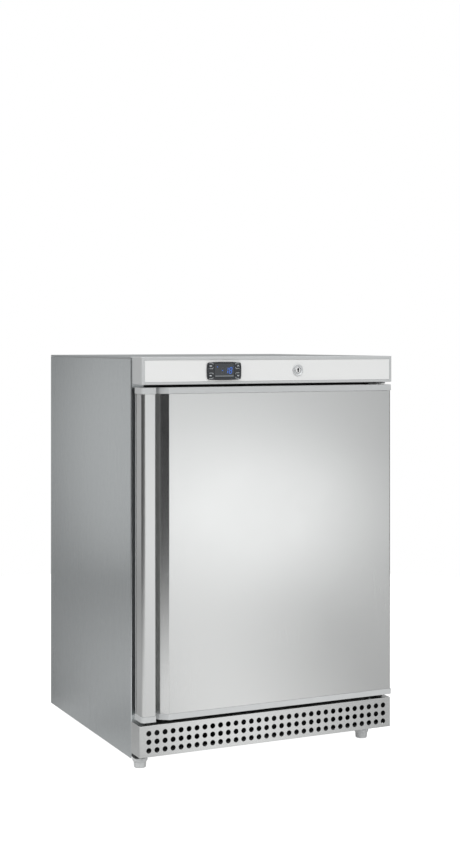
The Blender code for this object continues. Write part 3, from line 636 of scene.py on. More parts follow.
def solid(name, bm, smooth=50):
    """The finished object of a bmesh drawn in millimetres."""
    bmesh.ops.recalc_face_normals(bm, faces=bm.faces)
    bmesh.ops.scale(bm, vec=(MM, MM, MM), verts=bm.verts)
    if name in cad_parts:
        name += "_detailed"
    mesh = bpy.data.meshes.new(name)
    bm.to_mesh(mesh)
    bm.free()
    mesh.shade_smooth()
    mesh.set_sharp_from_angle(angle=math.radians(smooth))
    obj = bpy.data.objects.new(name, mesh)
    scene.collection.objects.link(obj)
    return obj


def combined(target, tools, operation="DIFFERENCE", smooth=50):
    """Booleans applied one after another, the tools removed."""
    for tool in tools:
        change = target.modifiers.new(tool.name, "BOOLEAN")
        change.operation = operation
        change.solver = "EXACT"
        change.object = tool
    bpy.context.view_layer.update()
    graph = bpy.context.evaluated_depsgraph_get()
    mesh = bpy.data.meshes.new_from_object(target.evaluated_get(graph))
    target.modifiers.clear()
    old = target.data
    target.data = mesh
    mesh.name = target.name
    bpy.data.meshes.remove(old)
    for tool in tools:
        bpy.data.objects.remove(tool, do_unlink=True)
    mesh.shade_smooth()
    mesh.set_sharp_from_angle(angle=math.radians(smooth))
    return target


def block(low, high, edge=0.0, corner=0.0, axis="Z"):
    """A cutter or a plain part of a union."""
    bm = bmesh.new()
    a, b, h = {"X": (1, 2, 0), "Y": (0, 2, 1), "Z": (0, 1, 2)}[axis]
    add_plate(
        bm,
        [rectangle(low[a], low[b], high[a], high[b], corner, 5)],
        low[h],
        high[h],
        axis,
        edge,
        2,
    )
    return solid("tool", bm)


def bar(radius, centre, low, high, axis="Z", sides=32, chamfer=0.0):
    bm = bmesh.new()
    profile = [(0, low), (radius, low), (radius, high), (0, high)]
    add_lathe(bm, profile, centre, axis, sides)
    return solid("tool", bm)


def softened(obj, width_mm, segments=2, angle=50):
    """Bevels the sharp edges of a Boolean result."""
    change = obj.modifiers.new("edges", "BEVEL")
    change.width = width_mm * MM
    change.segments = segments
    change.limit_method = "ANGLE"
    change.angle_limit = math.radians(angle)
    change.use_clamp_overlap = True
    change.harden_normals = False
    return obj


def ready(obj, body, material, replaces=(), extra=()):
    inked = [face.material_index for face in obj.data.polygons] if extra else []
    obj.data.materials.clear()
    for finish in (material, *extra):
        obj.data.materials.append(finish)
    for face, number in zip(obj.data.polygons, inked):
        face.material_index = number
    even = obj.modifiers.new("even_normals", "WEIGHTED_NORMAL")
    even.keep_sharp = True
    even.weight = 60
    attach(obj, body)
    if replaces:
        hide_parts(*replaces)
    return obj


def kept(node, material):
    """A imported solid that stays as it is, with its finish."""
    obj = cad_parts[node]
    obj.data.materials.clear()
    obj.data.materials.append(material)
    return obj


def one(name, build, body, material, slot, replaces=None, smooth=50):
    bm = bmesh.new()
    build(bm)
    return ready(
        solid(name, bm, smooth), body, material, [name] if replaces is None else replaces
    )


# ================================================================ dimensions
HALF_W, BACK, HEIGHT = 300.0, 292.5, 855.0
CASE_FRONT, REAR_SKIN = -233.9, 257.5
BAY_X, BAY_BOTTOM, BAY_TOP, BAY_BACK = 250.0, 148.0, 748.0, 205.0
STEP_Y, STEP_Z = 48.0, 293.0
LINER_WALL, LINER_FRONT = 1.5, -230.6
CTRL_X, CTRL_Z = -112.4, 825.0
LOCK_X, LOCK_Z = 63.5, 825.5
PIN_X, PIN_Y = 278.0, -263.5
CAP_LOW_TOP, CAP_HIGH_LOW = 116.0, 778.6
DOOR_BACK, DOOR_FRONT = -251.5, -288.0
FEET = {
    "foot_front_left": (-282.0, -238.5),
    "foot_front_right": (253.0, -235.0),
    "foot_rear_left": (-262.0, 245.0),
    "foot_rear_right": (262.0, 245.0),
}

# ============================================================= outer casing
for side, label in ((-1, "left"), (1, "right")):
    path = rounded(
        [(-272.0, CASE_FRONT), (-HALF_W, CASE_FRONT), (-HALF_W, BACK), (-280.0, BACK)],
        [0, 2.0, 1.5, 0],
        8,
        closed=False,
    )
    outline = [(x * -side, y) for x, y in folded(path, 1.0)]
    bm = bmesh.new()
    add_plate(bm, [outline], 18.0, 850.7, "Z", 0.2, 2)
    panel = solid(f"side_panel_{label}", bm)
    low, high = sorted((side * 268.0, side * 298.8))
    tools = [block((low, -236, 10), (high, -230, 48))]
    if side == 1:
        tools += [bar(2.6, (283, 0, z), -245, -215, "Y", 24) for z in (826, 809, 82, 64)]
    combined(panel, tools)
    ready(panel, "cabinet", SIDE_STEEL, [f"side_panel_{label}"])

bm = bmesh.new()
add_shell(
    bm,
    rectangle(-HALF_W, CASE_FRONT, HALF_W, BACK, 2.0, 6),
    851.0,
    HEIGHT,
    1.0,
    "Z",
    1.4,
    5,
)
top = solid("top_panel", bm)
combined(
    top,
    [block((-271.7, CASE_FRONT, 770), (271.7, -232.9, 852.5))],
    "UNION",
)
# painted shade: the header's front faces behind the door gap are black so the gap reads as shade
for face in top.data.polygons:
    x, y, z = (c / MM for c in face.center)
    if y < -232.0 and abs(x) < 271.8 and z < 852.0:
        face.material_index = 1
ready(top, "cabinet", LID_STEEL, ["top_panel"], [BLACK_AND_PAINTED_SHADE])

one(
    "rear_panel",
    lambda bm: add_plate(
        bm,
        [rectangle(-298.7, 245.5, 298.7, 853.7, 1.0, 3)],
        REAR_SKIN,
        REAR_SKIN + 1,
        "Y",
        0.2,
        2,
    ),
    "cabinet",
    ZINC,
    "zinc_sheet",
)

bm = bmesh.new()
add_shell(bm, rectangle(-298.4, -252, 298.4, 286.7, 3.0, 6), 33.0, 21.5, 1.4, "Z", 1.8, 4)
tray = solid("base_tray", bm)
combined(tray, [block((-296.0, 285.3, 28.0), (296.0, 286.7, 44.0), 0.0, 2.0, "Y")], "UNION")
combined(
    tray,
    [bar(5.3, (x, y, 0), 10, 60, "Z", 32) for x, y in FEET.values()]
    + [bar(6.9, (220.0, 0, 33.5), 270, 300, "Y", 32)],
)
# painted shade: the tray and the floor pan are black so what shows through the kick plate's holes reads as shade
ready(tray, "cabinet", BLACK_AND_PAINTED_SHADE, ["base_tray"])

kept("floor_pan", BLACK_AND_PAINTED_SHADE)
kept("cabinet_foam", FOAM)
# painted shade: the door foam's exposed edge is near-black so the gap reads as shade
kept("door_foam", PAINTED_SHADE_EDGE)
kept("controller_housing", CHARCOAL)


# ==================================================== insulation and liner
def bay_outline(front, corner=14.0, segments=8):
    return rounded(
        [
            (front, BAY_BOTTOM),
            (STEP_Y, BAY_BOTTOM),
            (STEP_Y, STEP_Z),
            (BAY_BACK, STEP_Z),
            (BAY_BACK, BAY_TOP),
            (front, BAY_TOP),
        ],
        [0, corner, corner, corner, corner, 0],
        segments,
    )


# the liner: the compartment's own surface, rounded everywhere, given its wall
bm = bmesh.new()
add_plate(bm, [bay_outline(-290.0)], -BAY_X, BAY_X, "X", 12.0, 7)
bmesh.ops.bisect_plane(
    bm,
    geom=bm.verts[:] + bm.edges[:] + bm.faces[:],
    plane_co=(0, LINER_FRONT, 0),
    plane_no=(0, -1, 0),
    clear_outer=True,
)
bmesh.ops.remove_doubles(bm, verts=bm.verts, dist=1e-4)
bmesh.ops.scale(bm, vec=(MM, MM, MM), verts=bm.verts)
bmesh.ops.recalc_face_normals(bm, faces=bm.faces)
middle = Vector((0, -0.01, 0.45))
if sum((f.calc_center_median() - middle).dot(f.normal) * f.calc_area() for f in bm.faces) < 0:
    bmesh.ops.reverse_faces(bm, faces=bm.faces)
mesh = bpy.data.meshes.new("inner_liner_detailed")
bm.to_mesh(mesh)
bm.free()
mesh.shade_smooth()
mesh.set_sharp_from_angle(angle=math.radians(40))
liner = bpy.data.objects.new("inner_liner_detailed", mesh)
scene.collection.objects.link(liner)
wall = liner.modifiers.new("wall", "SOLIDIFY")
wall.thickness = LINER_WALL * MM
wall.offset = 1.0
ready(liner, "cabinet", LINER_WHITE, ["inner_liner"])

one(
    "breaker_frame",
    lambda bm: add_plate(
        bm,
        [
            rectangle(-271.7, 126.0, 271.7, 769.7, 1.5, 4),
            rectangle(-BAY_X, BAY_BOTTOM, BAY_X, BAY_TOP, 12.0, 8),
        ],
        CASE_FRONT,
        LINER_FRONT - 0.3,
        "Y",
        [0.4, 1.4],
        4,
    ),
    "cabinet",
    LINER_WHITE,
    "liner_white",
)

# =================================================================== fascia
bm = bmesh.new()
add_plate(
    bm,
    [
        rounded(
            [(-298, -288.5), (299.7, -288.5), (299.7, -234.2), (-298, -234.2)],
            [4.5, 2.0, 1.9, 1.9],
            10,
        )
    ],
    797.4,
    855.0,
    "Z",
    1.6,
    5,
)
fascia = solid("fascia_frame", bm)
combined(
    fascia,
    [
        block((-295.5, -285.0, 799.9), (295.5, -200, 852.5)),
        block((-285.1, -300, 809.4), (287.4, -280, 841.8)),
        block((-291.4, -300, 803.1), (293.9, -286.7, 848.1), 0.0, 0.8, "Y"),
        block((260, -241, 790), (295.5, -200, 801)),
        block((55, -265.5, 790), (102, -258.5, 801)),
    ],
)
softened(fascia, 0.22, 2, 60)
ready(fascia, "cabinet", FASCIA_GREY, ["fascia_frame"])

one(
    "fascia_plate",
    lambda bm: add_plate(
        bm,
        [
            rectangle(-291.1, 803.4, 293.6, 847.8, 0.6, 3),
            rectangle(CTRL_X - 35.8, CTRL_Z - 14.4, CTRL_X + 35.8, CTRL_Z + 14.4, 1.0, 3),
            circle(LOCK_X, LOCK_Z, 9.9, 40),
        ],
        -288.2,
        -287.0,
        "Y",
        0.18,
        2,
    ),
    "cabinet",
    FASCIA_WHITE,
    "fascia_white",
)


# =============================================================== controller
def bezel_outline(width, height, bulge_x, bulge_z, corner):
    """A rectangle whose four sides bow outwards, with rounded corners."""
    a, b = width / 2 - bulge_x, height / 2 - bulge_z
    points = []
    for cx, cz, start in ((1, -1, -90), (1, 1, 0), (-1, 1, 90), (-1, -1, 180)):
        for k in range(9):
            angle = math.radians(start + 90 * k / 8)
            points.append(
                (
                    cx * (a - corner) + corner * math.cos(angle),
                    cz * (b - corner) + corner * math.sin(angle),
                )
            )
        if start in (-90, 90):
            way = 1 if start == -90 else -1
            points += [
                (way * (a + bulge_x * (1 - t * t)), -way * t * b)
                for t in (0.66, 0.44, 0.22, 0, -0.22, -0.44, -0.66)
            ]
        else:
            way = 1 if start == 0 else -1
            points += [
                (way * t * a, way * (b + bulge_z * (1 - t * t)))
                for t in (0.84, 0.7, 0.5, 0.3, 0.1, -0.1, -0.3, -0.5, -0.7, -0.84)
            ]
    return [(x + CTRL_X, z + CTRL_Z) for x, z in points]


KEYS = {
    "key_light": (-1, 1),
    "key_set": (-1, -1),
    "key_up": (1, 1),
    "key_down": (1, -1),
}
KEY_W, KEY_H = 9.6, 10.6


def key_at(name):
    sx, sz = KEYS[name]
    return CTRL_X + sx * 31.9, CTRL_Z + 0.4 + sz * 10.2


def bezel_build(bm):
    holes = []
    for name in KEYS:
        x, z = key_at(name)
        holes.append(
            rectangle(
                x - KEY_W / 2 - 0.4,
                z - KEY_H / 2 - 0.4,
                x + KEY_W / 2 + 0.4,
                z + KEY_H / 2 + 0.4,
                1.6,
                6,
            )
        )
    window = rectangle(
        CTRL_X - 23.0, CTRL_Z + 1.6 - 14.2, CTRL_X + 23.0, CTRL_Z + 1.6 + 14.2, 1.6, 6
    )
    add_plate(
        bm,
        [bezel_outline(79.6, 38.6, 1.0, 1.8, 3.0), window] + holes,
        -292.0,
        -288.5,
        "Y",
        [0.9, 0.45] + [0.3] * 4,
        4,
    )


one("controller_bezel", bezel_build, "cabinet", CHARCOAL, "controller_charcoal")

# the window sits on a floor inside the bezel
one(
    "display_lens",
    lambda bm: add_plate(
        bm,
        [
            rectangle(
                CTRL_X - 22.7, CTRL_Z + 1.6 - 13.9, CTRL_X + 22.7, CTRL_Z + 1.6 + 13.9, 1.5, 6
            )
        ],
        -291.7,
        -290.5,
        "Y",
        0.4,
        3,
    ),
    "cabinet",
    LENS,
    "display_lens",
)

for name in KEYS:
    x, z = key_at(name)
    one(
        name,
        lambda bm: add_plate(
            bm,
            [rectangle(x - KEY_W / 2, z - KEY_H / 2, x + KEY_W / 2, z + KEY_H / 2, 1.4, 6)],
            -292.4,
            -289.7,
            "Y",
            0.5,
            3,
        ),
        name,
        KEY_CHARCOAL,
        "key_charcoal",
    )

# figures: slanted seven-segment bars
SEGMENTS = {
    "a": ((0, 1), (1, 1)),
    "b": ((1, 1), (1, 0.5)),
    "c": ((1, 0.5), (1, 0)),
    "d": ((0, 0), (1, 0)),
    "e": ((0, 0.5), (0, 0)),
    "f": ((0, 1), (0, 0.5)),
    "g": ((0, 0.5), (1, 0.5)),
}
FIGURES = {"-": "g", "1": "bc", "8": "abcdefg"}
DIGIT_W, DIGIT_H, BAR_W, SLANT = 5.4, 12.4, 1.8, 0.14


def add_segment(bm, left, foot, letter, front, back):
    (a0, b0), (a1, b1) = SEGMENTS[letter]
    start = Vector((a0 * DIGIT_W, b0 * DIGIT_H))
    end = Vector((a1 * DIGIT_W, b1 * DIGIT_H))
    along = (end - start).normalized()
    start, end = start + along * 0.2, end - along * 0.2
    if letter == "g" and left == LEFTS["-"]:
        start, end = start + along * 0.7, end - along * 0.7
    across = Vector((-along.y, along.x)) * BAR_W / 2
    tip = along * BAR_W / 2
    hexagon = [
        start,
        start + tip - across,
        end - tip - across,
        end,
        end - tip + across,
        start + tip + across,
    ]
    loop = [(left + p.x + p.y * SLANT, foot + p.y) for p in hexagon]
    add_plate(bm, [rounded(loop, 0.12, 2)], front, back, "Y", 0.02, 1)


DIGIT_FOOT = 819.7
LEFTS = {"-": -120.3, "1": -110.6, "8": -101.4}
lit, unlit = bmesh.new(), bmesh.new()
for figure, left in LEFTS.items():
    for letter in SEGMENTS:
        if letter in FIGURES[figure]:
            add_segment(lit, left, DIGIT_FOOT, letter, -291.76, -291.66)
        else:
            add_segment(unlit, left, DIGIT_FOOT, letter, -291.73, -291.66)
ready(solid("display_figures", lit), "cabinet", BLUE_GLOW)
ready(solid("display_figures_off", unlit), "cabinet", GHOST)
bm = bmesh.new()
add_plate(bm, [circle(-128.4, 833.6, 1.15, 24)], -291.76, -291.66, "Y", 0.02, 1)
ready(solid("indicator_running", bm), "cabinet", BLUE_GLOW)
bm = bmesh.new()
add_plate(bm, [circle(-91.2, 833.8, 0.8, 24)], -291.76, -291.66, "Y", 0.02, 1)
ready(solid("indicator_alarm", bm), "cabinet", BLUE_DIM)
bm = bmesh.new()
add_plate(
    bm,
    [rectangle(CTRL_X - 21.6, 813.5, CTRL_X + 21.6, 815.1, 0.6, 4)],
    -291.78,
    -291.66,
    "Y",
    0.03,
    1,
)
ready(solid("window_lower_line", bm), "cabinet", PRINT_DIM)


# printed marks: bracket lines round the keys, bars and arrows on them
def add_line(bm, points, width, front, back):
    add_plate(
        bm,
        [list(offset(points, width / 2)) + list(offset(points, -width / 2))[::-1]],
        front,
        back,
        "Y",
        0.02,
        1,
    )


bm = bmesh.new()
for name, (sx, sz) in KEYS.items():
    x, z = key_at(name)
    w, h = KEY_W / 2 + 0.75, KEY_H / 2 + 0.75
    inner = x - sx * w
    outer = x + sx * (w - 2.6)
    for zz, turn in ((z + h, -1), (z - h, 1)):
        if abs(zz - (CTRL_Z + 0.4)) < 4.9:
            zz += 0.35 * turn
        arc = rounded(
            [(outer, zz), (inner, zz), (inner, zz + turn * 3.0)],
            [0, 1.9, 0],
            8,
            closed=False,
        )
        add_line(bm, arc, 0.62, -292.06, -291.98)
ready(solid("key_brackets", bm), "cabinet", PRINT_PALE)

for name in KEYS:
    x, z = key_at(name)
    bm = bmesh.new()
    if name == "key_light":
        add_plate(bm, [rectangle(x - 2.5, z - 0.85, x + 2.5, z + 0.85, 0.4, 3)], -292.46, -292.37, "Y", 0.02, 1)
    elif name == "key_set":
        add_plate(bm, [rectangle(x - 2.6, z - 0.85, x + 0.5, z + 0.85, 0.4, 3)], -292.46, -292.37, "Y", 0.02, 1)
        add_plate(bm, [rectangle(x + 1.2, z - 0.85, x + 2.6, z + 0.85, 0.4, 3)], -292.46, -292.37, "Y", 0.02, 1)
    else:
        way = 1 if name == "key_up" else -1
        arrow = [(x - 2.2, z - 1.2 * way), (x, z + 1.5 * way), (x + 2.2, z - 1.2 * way)]
        add_line(bm, rounded(arrow, [0, 0.3, 0], 3, closed=False), 1.0, -292.46, -292.37)
    ready(solid(name + "_mark", bm), name, PRINT_PALE)

# ===================================================================== lock
one(
    "lock_housing",
    lambda bm: add_lathe(
        bm,
        rounded(
            [
                (9.5, -266.0),
                (9.5, -288.5),
                (12.3, -288.5),
                (12.3, -290.6),
                (11.3, -290.8),
                (8.5, -289.5),
                (8.1, -290.8),
                (6.8, -290.8),
                (6.8, -266.0),
            ],
            [0.3, 0, 0.25, 0.5, 0.5, 0.3, 0.3, 0.3, 0.3],
            4,
        ),
        (LOCK_X, 0, LOCK_Z),
        "Y",
        64,
        closed=True,
    ),
    "cabinet",
    LOCK_RING,
    "lock_chrome",
    smooth=35,
)
bm = bmesh.new()
hexagon = [
    (LOCK_X + 13.2 * math.cos(math.radians(60 * k)), LOCK_Z + 13.2 * math.sin(math.radians(60 * k)))
    for k in range(6)
]
add_plate(
    bm,
    [rounded(hexagon, 0.5, 3), circle(LOCK_X, LOCK_Z, 9.9, 40)],
    -286.7,
    -282.5,
    "Y",
    0.35,
    3,
)
ready(solid("lock_nut", bm), "cabinet", ZINC, ["lock_nut"])

bm = bmesh.new()
add_lathe(
    bm,
    rounded(
        [(0, -259.0), (3.6, -259.0), (3.6, -263.6), (6.3, -263.6), (6.3, -291.0), (0, -291.0)],
        [0, 0.3, 0, 0.3, 0.5, 0],
        4,
    ),
    (LOCK_X, 0, LOCK_Z),
    "Y",
    64,
)
plug = solid("lock_cylinder", bm, 35)
combined(
    plug,
    [
        block((LOCK_X - 1.5, -300, LOCK_Z - 4.3), (LOCK_X + 1.5, -284.0, LOCK_Z + 4.3), 0.0, 0.5, "Y"),
        bar(2.4, (LOCK_X, 0, LOCK_Z + 1.6), -300, -284.0, "Y", 24),
    ],
    smooth=35,
)
# painted shade: the keyway's walls are near-black, where the deep slot is in shade
for face in plug.data.polygons:
    x, y, z = (c / MM for c in face.center)
    if -290.9 < y < -283.5 and abs(x - LOCK_X) < 2.5 and abs(z - LOCK_Z) < 4.4:
        face.material_index = 1
ready(plug, "lock", CHROME, ["lock_cylinder"], [KEYWAY_PAINTED_SHADE])
# painted shade: a near-black plate in the keyway stands in for the slot's shade
bm = bmesh.new()
add_plate(
    bm,
    [rectangle(LOCK_X - 1.26, LOCK_Z - 4.1, LOCK_X + 1.26, LOCK_Z + 4.1, 0.45, 4)],
    -284.9,
    -284.05,
    "Y",
    0.1,
    1,
)
ready(solid("keyway_shutter", bm), "lock", KEYWAY_PAINTED_SHADE)

cam_arc = [
    (LOCK_X + 8.0 * math.cos(math.radians(a)), LOCK_Z + 8.0 * math.sin(math.radians(a)))
    for a in range(60, 301, 10)
]
one(
    "lock_cam",
    lambda bm: add_plate(
        bm,
        [
            rounded(
                cam_arc + [(LOCK_X + 42.5, LOCK_Z - 5.0), (LOCK_X + 42.5, LOCK_Z + 5.0)],
                [0] * len(cam_arc) + [2.0, 2.0],
                5,
            ),
            circle(LOCK_X, LOCK_Z, 4.0, 32),
        ],
        -263.2,
        -260.8,
        "Y",
        0.25,
        2,
    ),
    "lock",
    ZINC,
    "zinc_sheet",
)

# =============================================================== kick plate
bm = bmesh.new()
add_plate(
    bm,
    [
        rounded(
            [(-300, -282), (300, -282), (300, -234.2), (-300, -234.2)],
            [1.6, 1.6, 0.9, 0.9],
            6,
        )
    ],
    30.3,
    95.4,
    "Z",
    0.7,
    3,
)
kick = solid("kick_plate", bm)
combined(
    kick,
    [
        block((-299, -281, 31.3), (299, -200, 94.4), 0.0, 0.6),
        block((-287, -269, 20), (287, -200, 40)),
        block((-299, -262, 20), (-286, -200, 40)),
        block((286, -262, 20), (299, -200, 40)),
        block((258, -241, 90), (299, -200, 100)),
    ],
)
bm = bmesh.new()
for row in (-1, 0, 1):
    for column in range(32):
        x, z = (column - 15.5) * 18.09 + 0.8, 61.6 + row * 17.7
        add_lathe(bm, [(0, -290), (5.7, -290), (5.7, -275), (0, -275)], (x, 0, z), "Y", 28)
combined(kick, [solid("holes", bm)])
# painted shade: the hole walls and the plate's inner faces are black so the holes read as shade
for face in kick.data.polygons:
    x, y, z = (c / MM for c in face.center)
    in_hole = abs(face.normal.y) < 0.3 and abs(x) < 296 and 36 < z < 90
    if in_hole or (y > -281.2 and abs(x) < 299.2 and 31.1 < z < 94.6):
        face.material_index = 1
softened(kick, 0.18, 2, 55)
ready(kick, "cabinet", KICK_STEEL, ["kick_plate"], [BLACK_AND_PAINTED_SHADE])


# ===================================================================== feet
def add_thread(bm, centre, radius, low, high, pitch, depth, sides=28, per_turn=8):
    """A threaded stud: the surface dips along a helix, the ends are flat."""
    rows = max(2, int((high - low) / pitch * per_turn))
    rings = []
    for row in range(rows + 1):
        h = low + (high - low) * row / rows
        fade = min(1.0, (h - low) / pitch, (high - h) / pitch)
        ring = []
        for k in range(sides):
            share = (h / pitch - k / sides) % 1.0
            dip = depth * (1 - abs(2 * share - 1)) * fade
            r = radius - dip
            turn = 2 * math.pi * k / sides
            ring.append(
                bm.verts.new(
                    (centre[0] + r * math.cos(turn), centre[1] + r * math.sin(turn), h)
                )
            )
        rings.append(ring)
    for a, b in zip(rings, rings[1:]):
        strip(bm, a, b)
    return rings


def foot_build(bm, x, y):
    rings = add_thread(bm, (x, y), 4.9, 21.2, 45.2, 1.75, 0.75)
    top_ring = [bm.verts.new((x + 3.9 * math.cos(2 * math.pi * k / 28), y + 3.9 * math.sin(2 * math.pi * k / 28), 46.0)) for k in range(28)]
    strip(bm, rings[-1], top_ring)
    bm.faces.new(top_ring)
    body = rounded(
        [
            (4.9, 21.2),
            (16.0, 21.2),
            (16.0, 15.2),
            (13.2, 11.6),
            (12.8, 0.0),
            (0.0, 0.0),
        ],
        [0, 1.4, 3.2, 1.2, 2.2, 0],
        6,
    )
    # the body starts on the stud's last ring, so the two share one surface
    heights = body[1:]
    previous = rings[0]
    for r, h in heights:
        if r < 1e-6:
            pole = bm.verts.new((x, y, h))
            for k in range(28):
                bm.faces.new((pole, previous[k], previous[(k + 1) % 28]))
            break
        ring = [
            bm.verts.new(
                (x + r * math.cos(2 * math.pi * k / 28), y + r * math.sin(2 * math.pi * k / 28), h)
            )
            for k in range(28)
        ]
        strip(bm, previous, ring)
        previous = ring


for name, (x, y) in FEET.items():
    bm = bmesh.new()
    foot_build(bm, x, y)
    foot = solid(name, bm, 40)
    for face in foot.data.polygons:
        face.material_index = int(face.center.z > 21.3 * MM)
    ready(foot, name, FOOT_GREY, [name], [BLACK_AND_PAINTED_SHADE])


# ==================================================================== hinge
def hinge_bracket(name, low, leg_low, leg_high, screws):
    painted_light = [
        (PIN_X + 10.5 * math.cos(math.radians(a)), PIN_Y + 10.5 * math.sin(math.radians(a)))
        for a in range(180, 361, 12)
    ]
    outer = [(294.5, -246.0), (294.5, -234.6)]
    if name.endswith("top"):
        # the upper plate runs out to the side, as its end shows in the gap
        painted_light = painted_light[:9]
        outer = [(297.2, -264.4), (298.3, -262.8), (298.3, -234.6)]
    plan = [(262.0, -234.6), (262.0, -246.0)] + painted_light + outer
    bm = bmesh.new()
    add_plate(bm, [plan, circle(PIN_X, PIN_Y, 4.4, 32)], low, low + 3.0, "Z", 0.3, 3)
    bracket = solid(name, bm)
    combined(
        bracket,
        [block((262.4, -237.2, leg_low), (294.1, -234.6, leg_high), 0.25, 3.0, "Y")],
        "UNION",
    )
    combined(bracket, [bar(2.6, (283, 0, z), -245, -215, "Y", 24) for z in screws])
    # painted shade: the lower bracket is black, unlike the upper one, so it reads as shade behind the kick plate
    finish = BRACKET_GREY if name.endswith("top") else BLACK_AND_PAINTED_SHADE
    ready(bracket, "cabinet", finish, [name])


hinge_bracket("hinge_bracket_top", 793.0, 794.0, 836.0, (826, 809))
hinge_bracket("hinge_bracket_bottom", 97.0, 50.0, 99.0, (82, 64))

for name, low, high in (
    ("hinge_pin_top", 781.0, 796.2),
    ("hinge_pin_bottom", 96.6, 114.0),
):
    one(
        name,
        lambda bm: add_lathe(
            bm,
            rounded([(0, low), (4.0, low), (4.0, high), (0, high)], [0, 0.8, 0.8, 0], 5),
            (PIN_X, PIN_Y, 0),
            "Z",
            40,
        ),
        "cabinet",
        PIN_STEEL,
        "pin_steel",
        smooth=35,
    )
for name, profile in (
    (
        "hinge_bush_top",
        [(8.5, 792.6), (8.5, 791.9), (6.1, 791.9), (6.1, 780.0), (4.4, 780.0), (4.4, 792.6)],
    ),
    (
        "hinge_bush_bottom",
        [(6.1, 115.0), (6.1, 103.7), (8.5, 103.7), (8.5, 100.3), (4.4, 100.3), (4.4, 115.0)],
    ),
):
    one(
        name,
        lambda bm: add_lathe(
            bm, rounded(profile, 0.2, 3), (PIN_X, PIN_Y, 0), "Z", 48, closed=True
        ),
        "door",
        NYLON,
        "bush_nylon",
        smooth=35,
    )

for number, z in enumerate((826.0, 809.0, 82.0, 64.0), 1):
    bm = bmesh.new()
    add_lathe(
        bm,
        rounded(
            [(0, -222.0), (1.0, -222.0), (2.0, -224.0), (2.0, -237.5), (4.2, -237.5), (4.2, -240.0), (0, -240.0)],
            [0, 0.2, 0.3, 0, 0.3, 1.6, 0],
            6,
        ),
        (283.0, 0, z),
        "Y",
        36,
    )
    screw = solid(f"hinge_screw_{number}", bm, 35)
    combined(
        screw,
        [
            block((283 - 0.45, -241, z - 2.3), (283 + 0.45, -238.6, z + 2.3), 0, 0.2, "Y"),
            block((283 - 2.3, -241, z - 0.45), (283 + 2.3, -238.6, z + 0.45), 0, 0.2, "Y"),
        ],
        smooth=35,
    )
    ready(screw, "cabinet", PIN_STEEL, [f"hinge_screw_{number}"])

# ===================================================================== door
door_path = rounded(
    [
        (297.0, DOOR_BACK),
        (297.0, DOOR_FRONT),
        (-236.8, DOOR_FRONT),
        (-253.4, -276.4),
        (-263.0, -260.0),
        (-291.0, -260.0),
    ],
    [0, 3.0, 3.0, 6.0, 4.0, 0],
    12,
    closed=False,
)
one(
    "door_skin",
    lambda bm: add_plate(
        bm, [folded(door_path, 1.0)], CAP_LOW_TOP + 0.3, CAP_HIGH_LOW - 0.3, "Z", 0.15, 2
    ),
    "door",
    DOOR_STEEL,
    "brushed_steel_door",
)
handle_path = rounded(
    [
        (-268.0, -286.7),
        (-268.0, -291.7),
        (-297.5, -291.7),
        (-297.5, -256.5),
        (-275.0, -256.5),
    ],
    [0, 2.2, 8.0, 3.4, 0],
    12,
    closed=False,
)
one(
    "handle_profile",
    lambda bm: add_plate(
        bm, [folded(handle_path, 2.0)], CAP_LOW_TOP + 0.3, CAP_HIGH_LOW - 0.3, "Z", 0.3, 3
    ),
    "door",
    HANDLE_STEEL,
    "brushed_steel_door",
)

cap_plan = rounded(
    [
        (-299.0, DOOR_BACK),
        (-299.0, -BACK),
        (-267.2, -BACK),
        (-267.2, -261.0),
        (-263.4, -261.0),
        (-254.3, -277.1),
        (-237.2, -289.0),
        (299.0, -289.0),
        (299.0, DOOR_BACK),
    ],
    [0.9, 9.0, 2.2, 0.9, 0.9, 5.0, 3.5, 4.0, 0.9],
    10,
)
for name, low, high, holes in (
    ("door_cap_bottom", 104.0, CAP_LOW_TOP, []),
    (
        "door_cap_top",
        CAP_HIGH_LOW,
        791.6,
        [rectangle(56.0, -264.8, 101.0, -259.2, 1.5, 5)],
    ),
):
    one(
        name,
        lambda bm: add_plate(
            bm,
            [cap_plan, circle(PIN_X, PIN_Y, 6.5, 40)] + holes,
            low,
            high,
            "Z",
            [0.7] + [0.3] * (1 + len(holes)),
            4,
        ),
        "door",
        CAP_GREY,
        "cap_grey",
    )


def liner_build(bm):
    """The door's inner shell: a flange, a drafted plug and a raised field."""
    steps = [
        (297.0, 106.0, 789.5, 2.0, -249.2),
        (284.0, 119.0, 776.5, 2.0, -249.2),
        (283.6, 119.4, 776.1, 2.0, -249.45),
        (283.2, 119.8, 775.7, 2.0, -249.2),
        (238.5, 162.2, 737.8, 22.0, -249.2),
        (236.4, 164.3, 735.7, 20.5, -248.6),
        (235.0, 165.7, 734.3, 19.0, -246.8),
        (233.6, 167.1, 732.9, 17.5, -231.5),
        (232.6, 168.1, 731.9, 16.8, -228.9),
        (230.4, 170.3, 729.7, 15.5, -227.0),
        (227.4, 173.3, 726.7, 14.0, -226.0),
        (207.0, 193.7, 706.3, 12.0, -226.0),
        (205.4, 195.3, 704.7, 11.5, -226.35),
        (204.4, 196.3, 703.7, 11.0, -227.4),
        (202.8, 197.9, 702.1, 10.5, -227.8),
    ]
    rings = []
    for half, low, high, corner, y in steps:
        rings.append(
            [
                bm.verts.new((x, y, z))
                for x, z in rectangle(-half, low, half, high, corner, 8)
            ]
        )
    back_steps = [(0.0, -251.2)]
    rear = [
        bm.verts.new((x, -251.2, z))
        for x, z in rectangle(-297.0, 106.0, 297.0, 789.5, 2.0, 8)
    ]
    strip(bm, rear, rings[0])
    for a, b in zip(rings, rings[1:]):
        strip(bm, a, b)
    bm.faces.new(rings[-1])
    bm.faces.new(rear)


bm = bmesh.new()
liner_build(bm)
plug = solid("door_inner_liner", bm, 42)
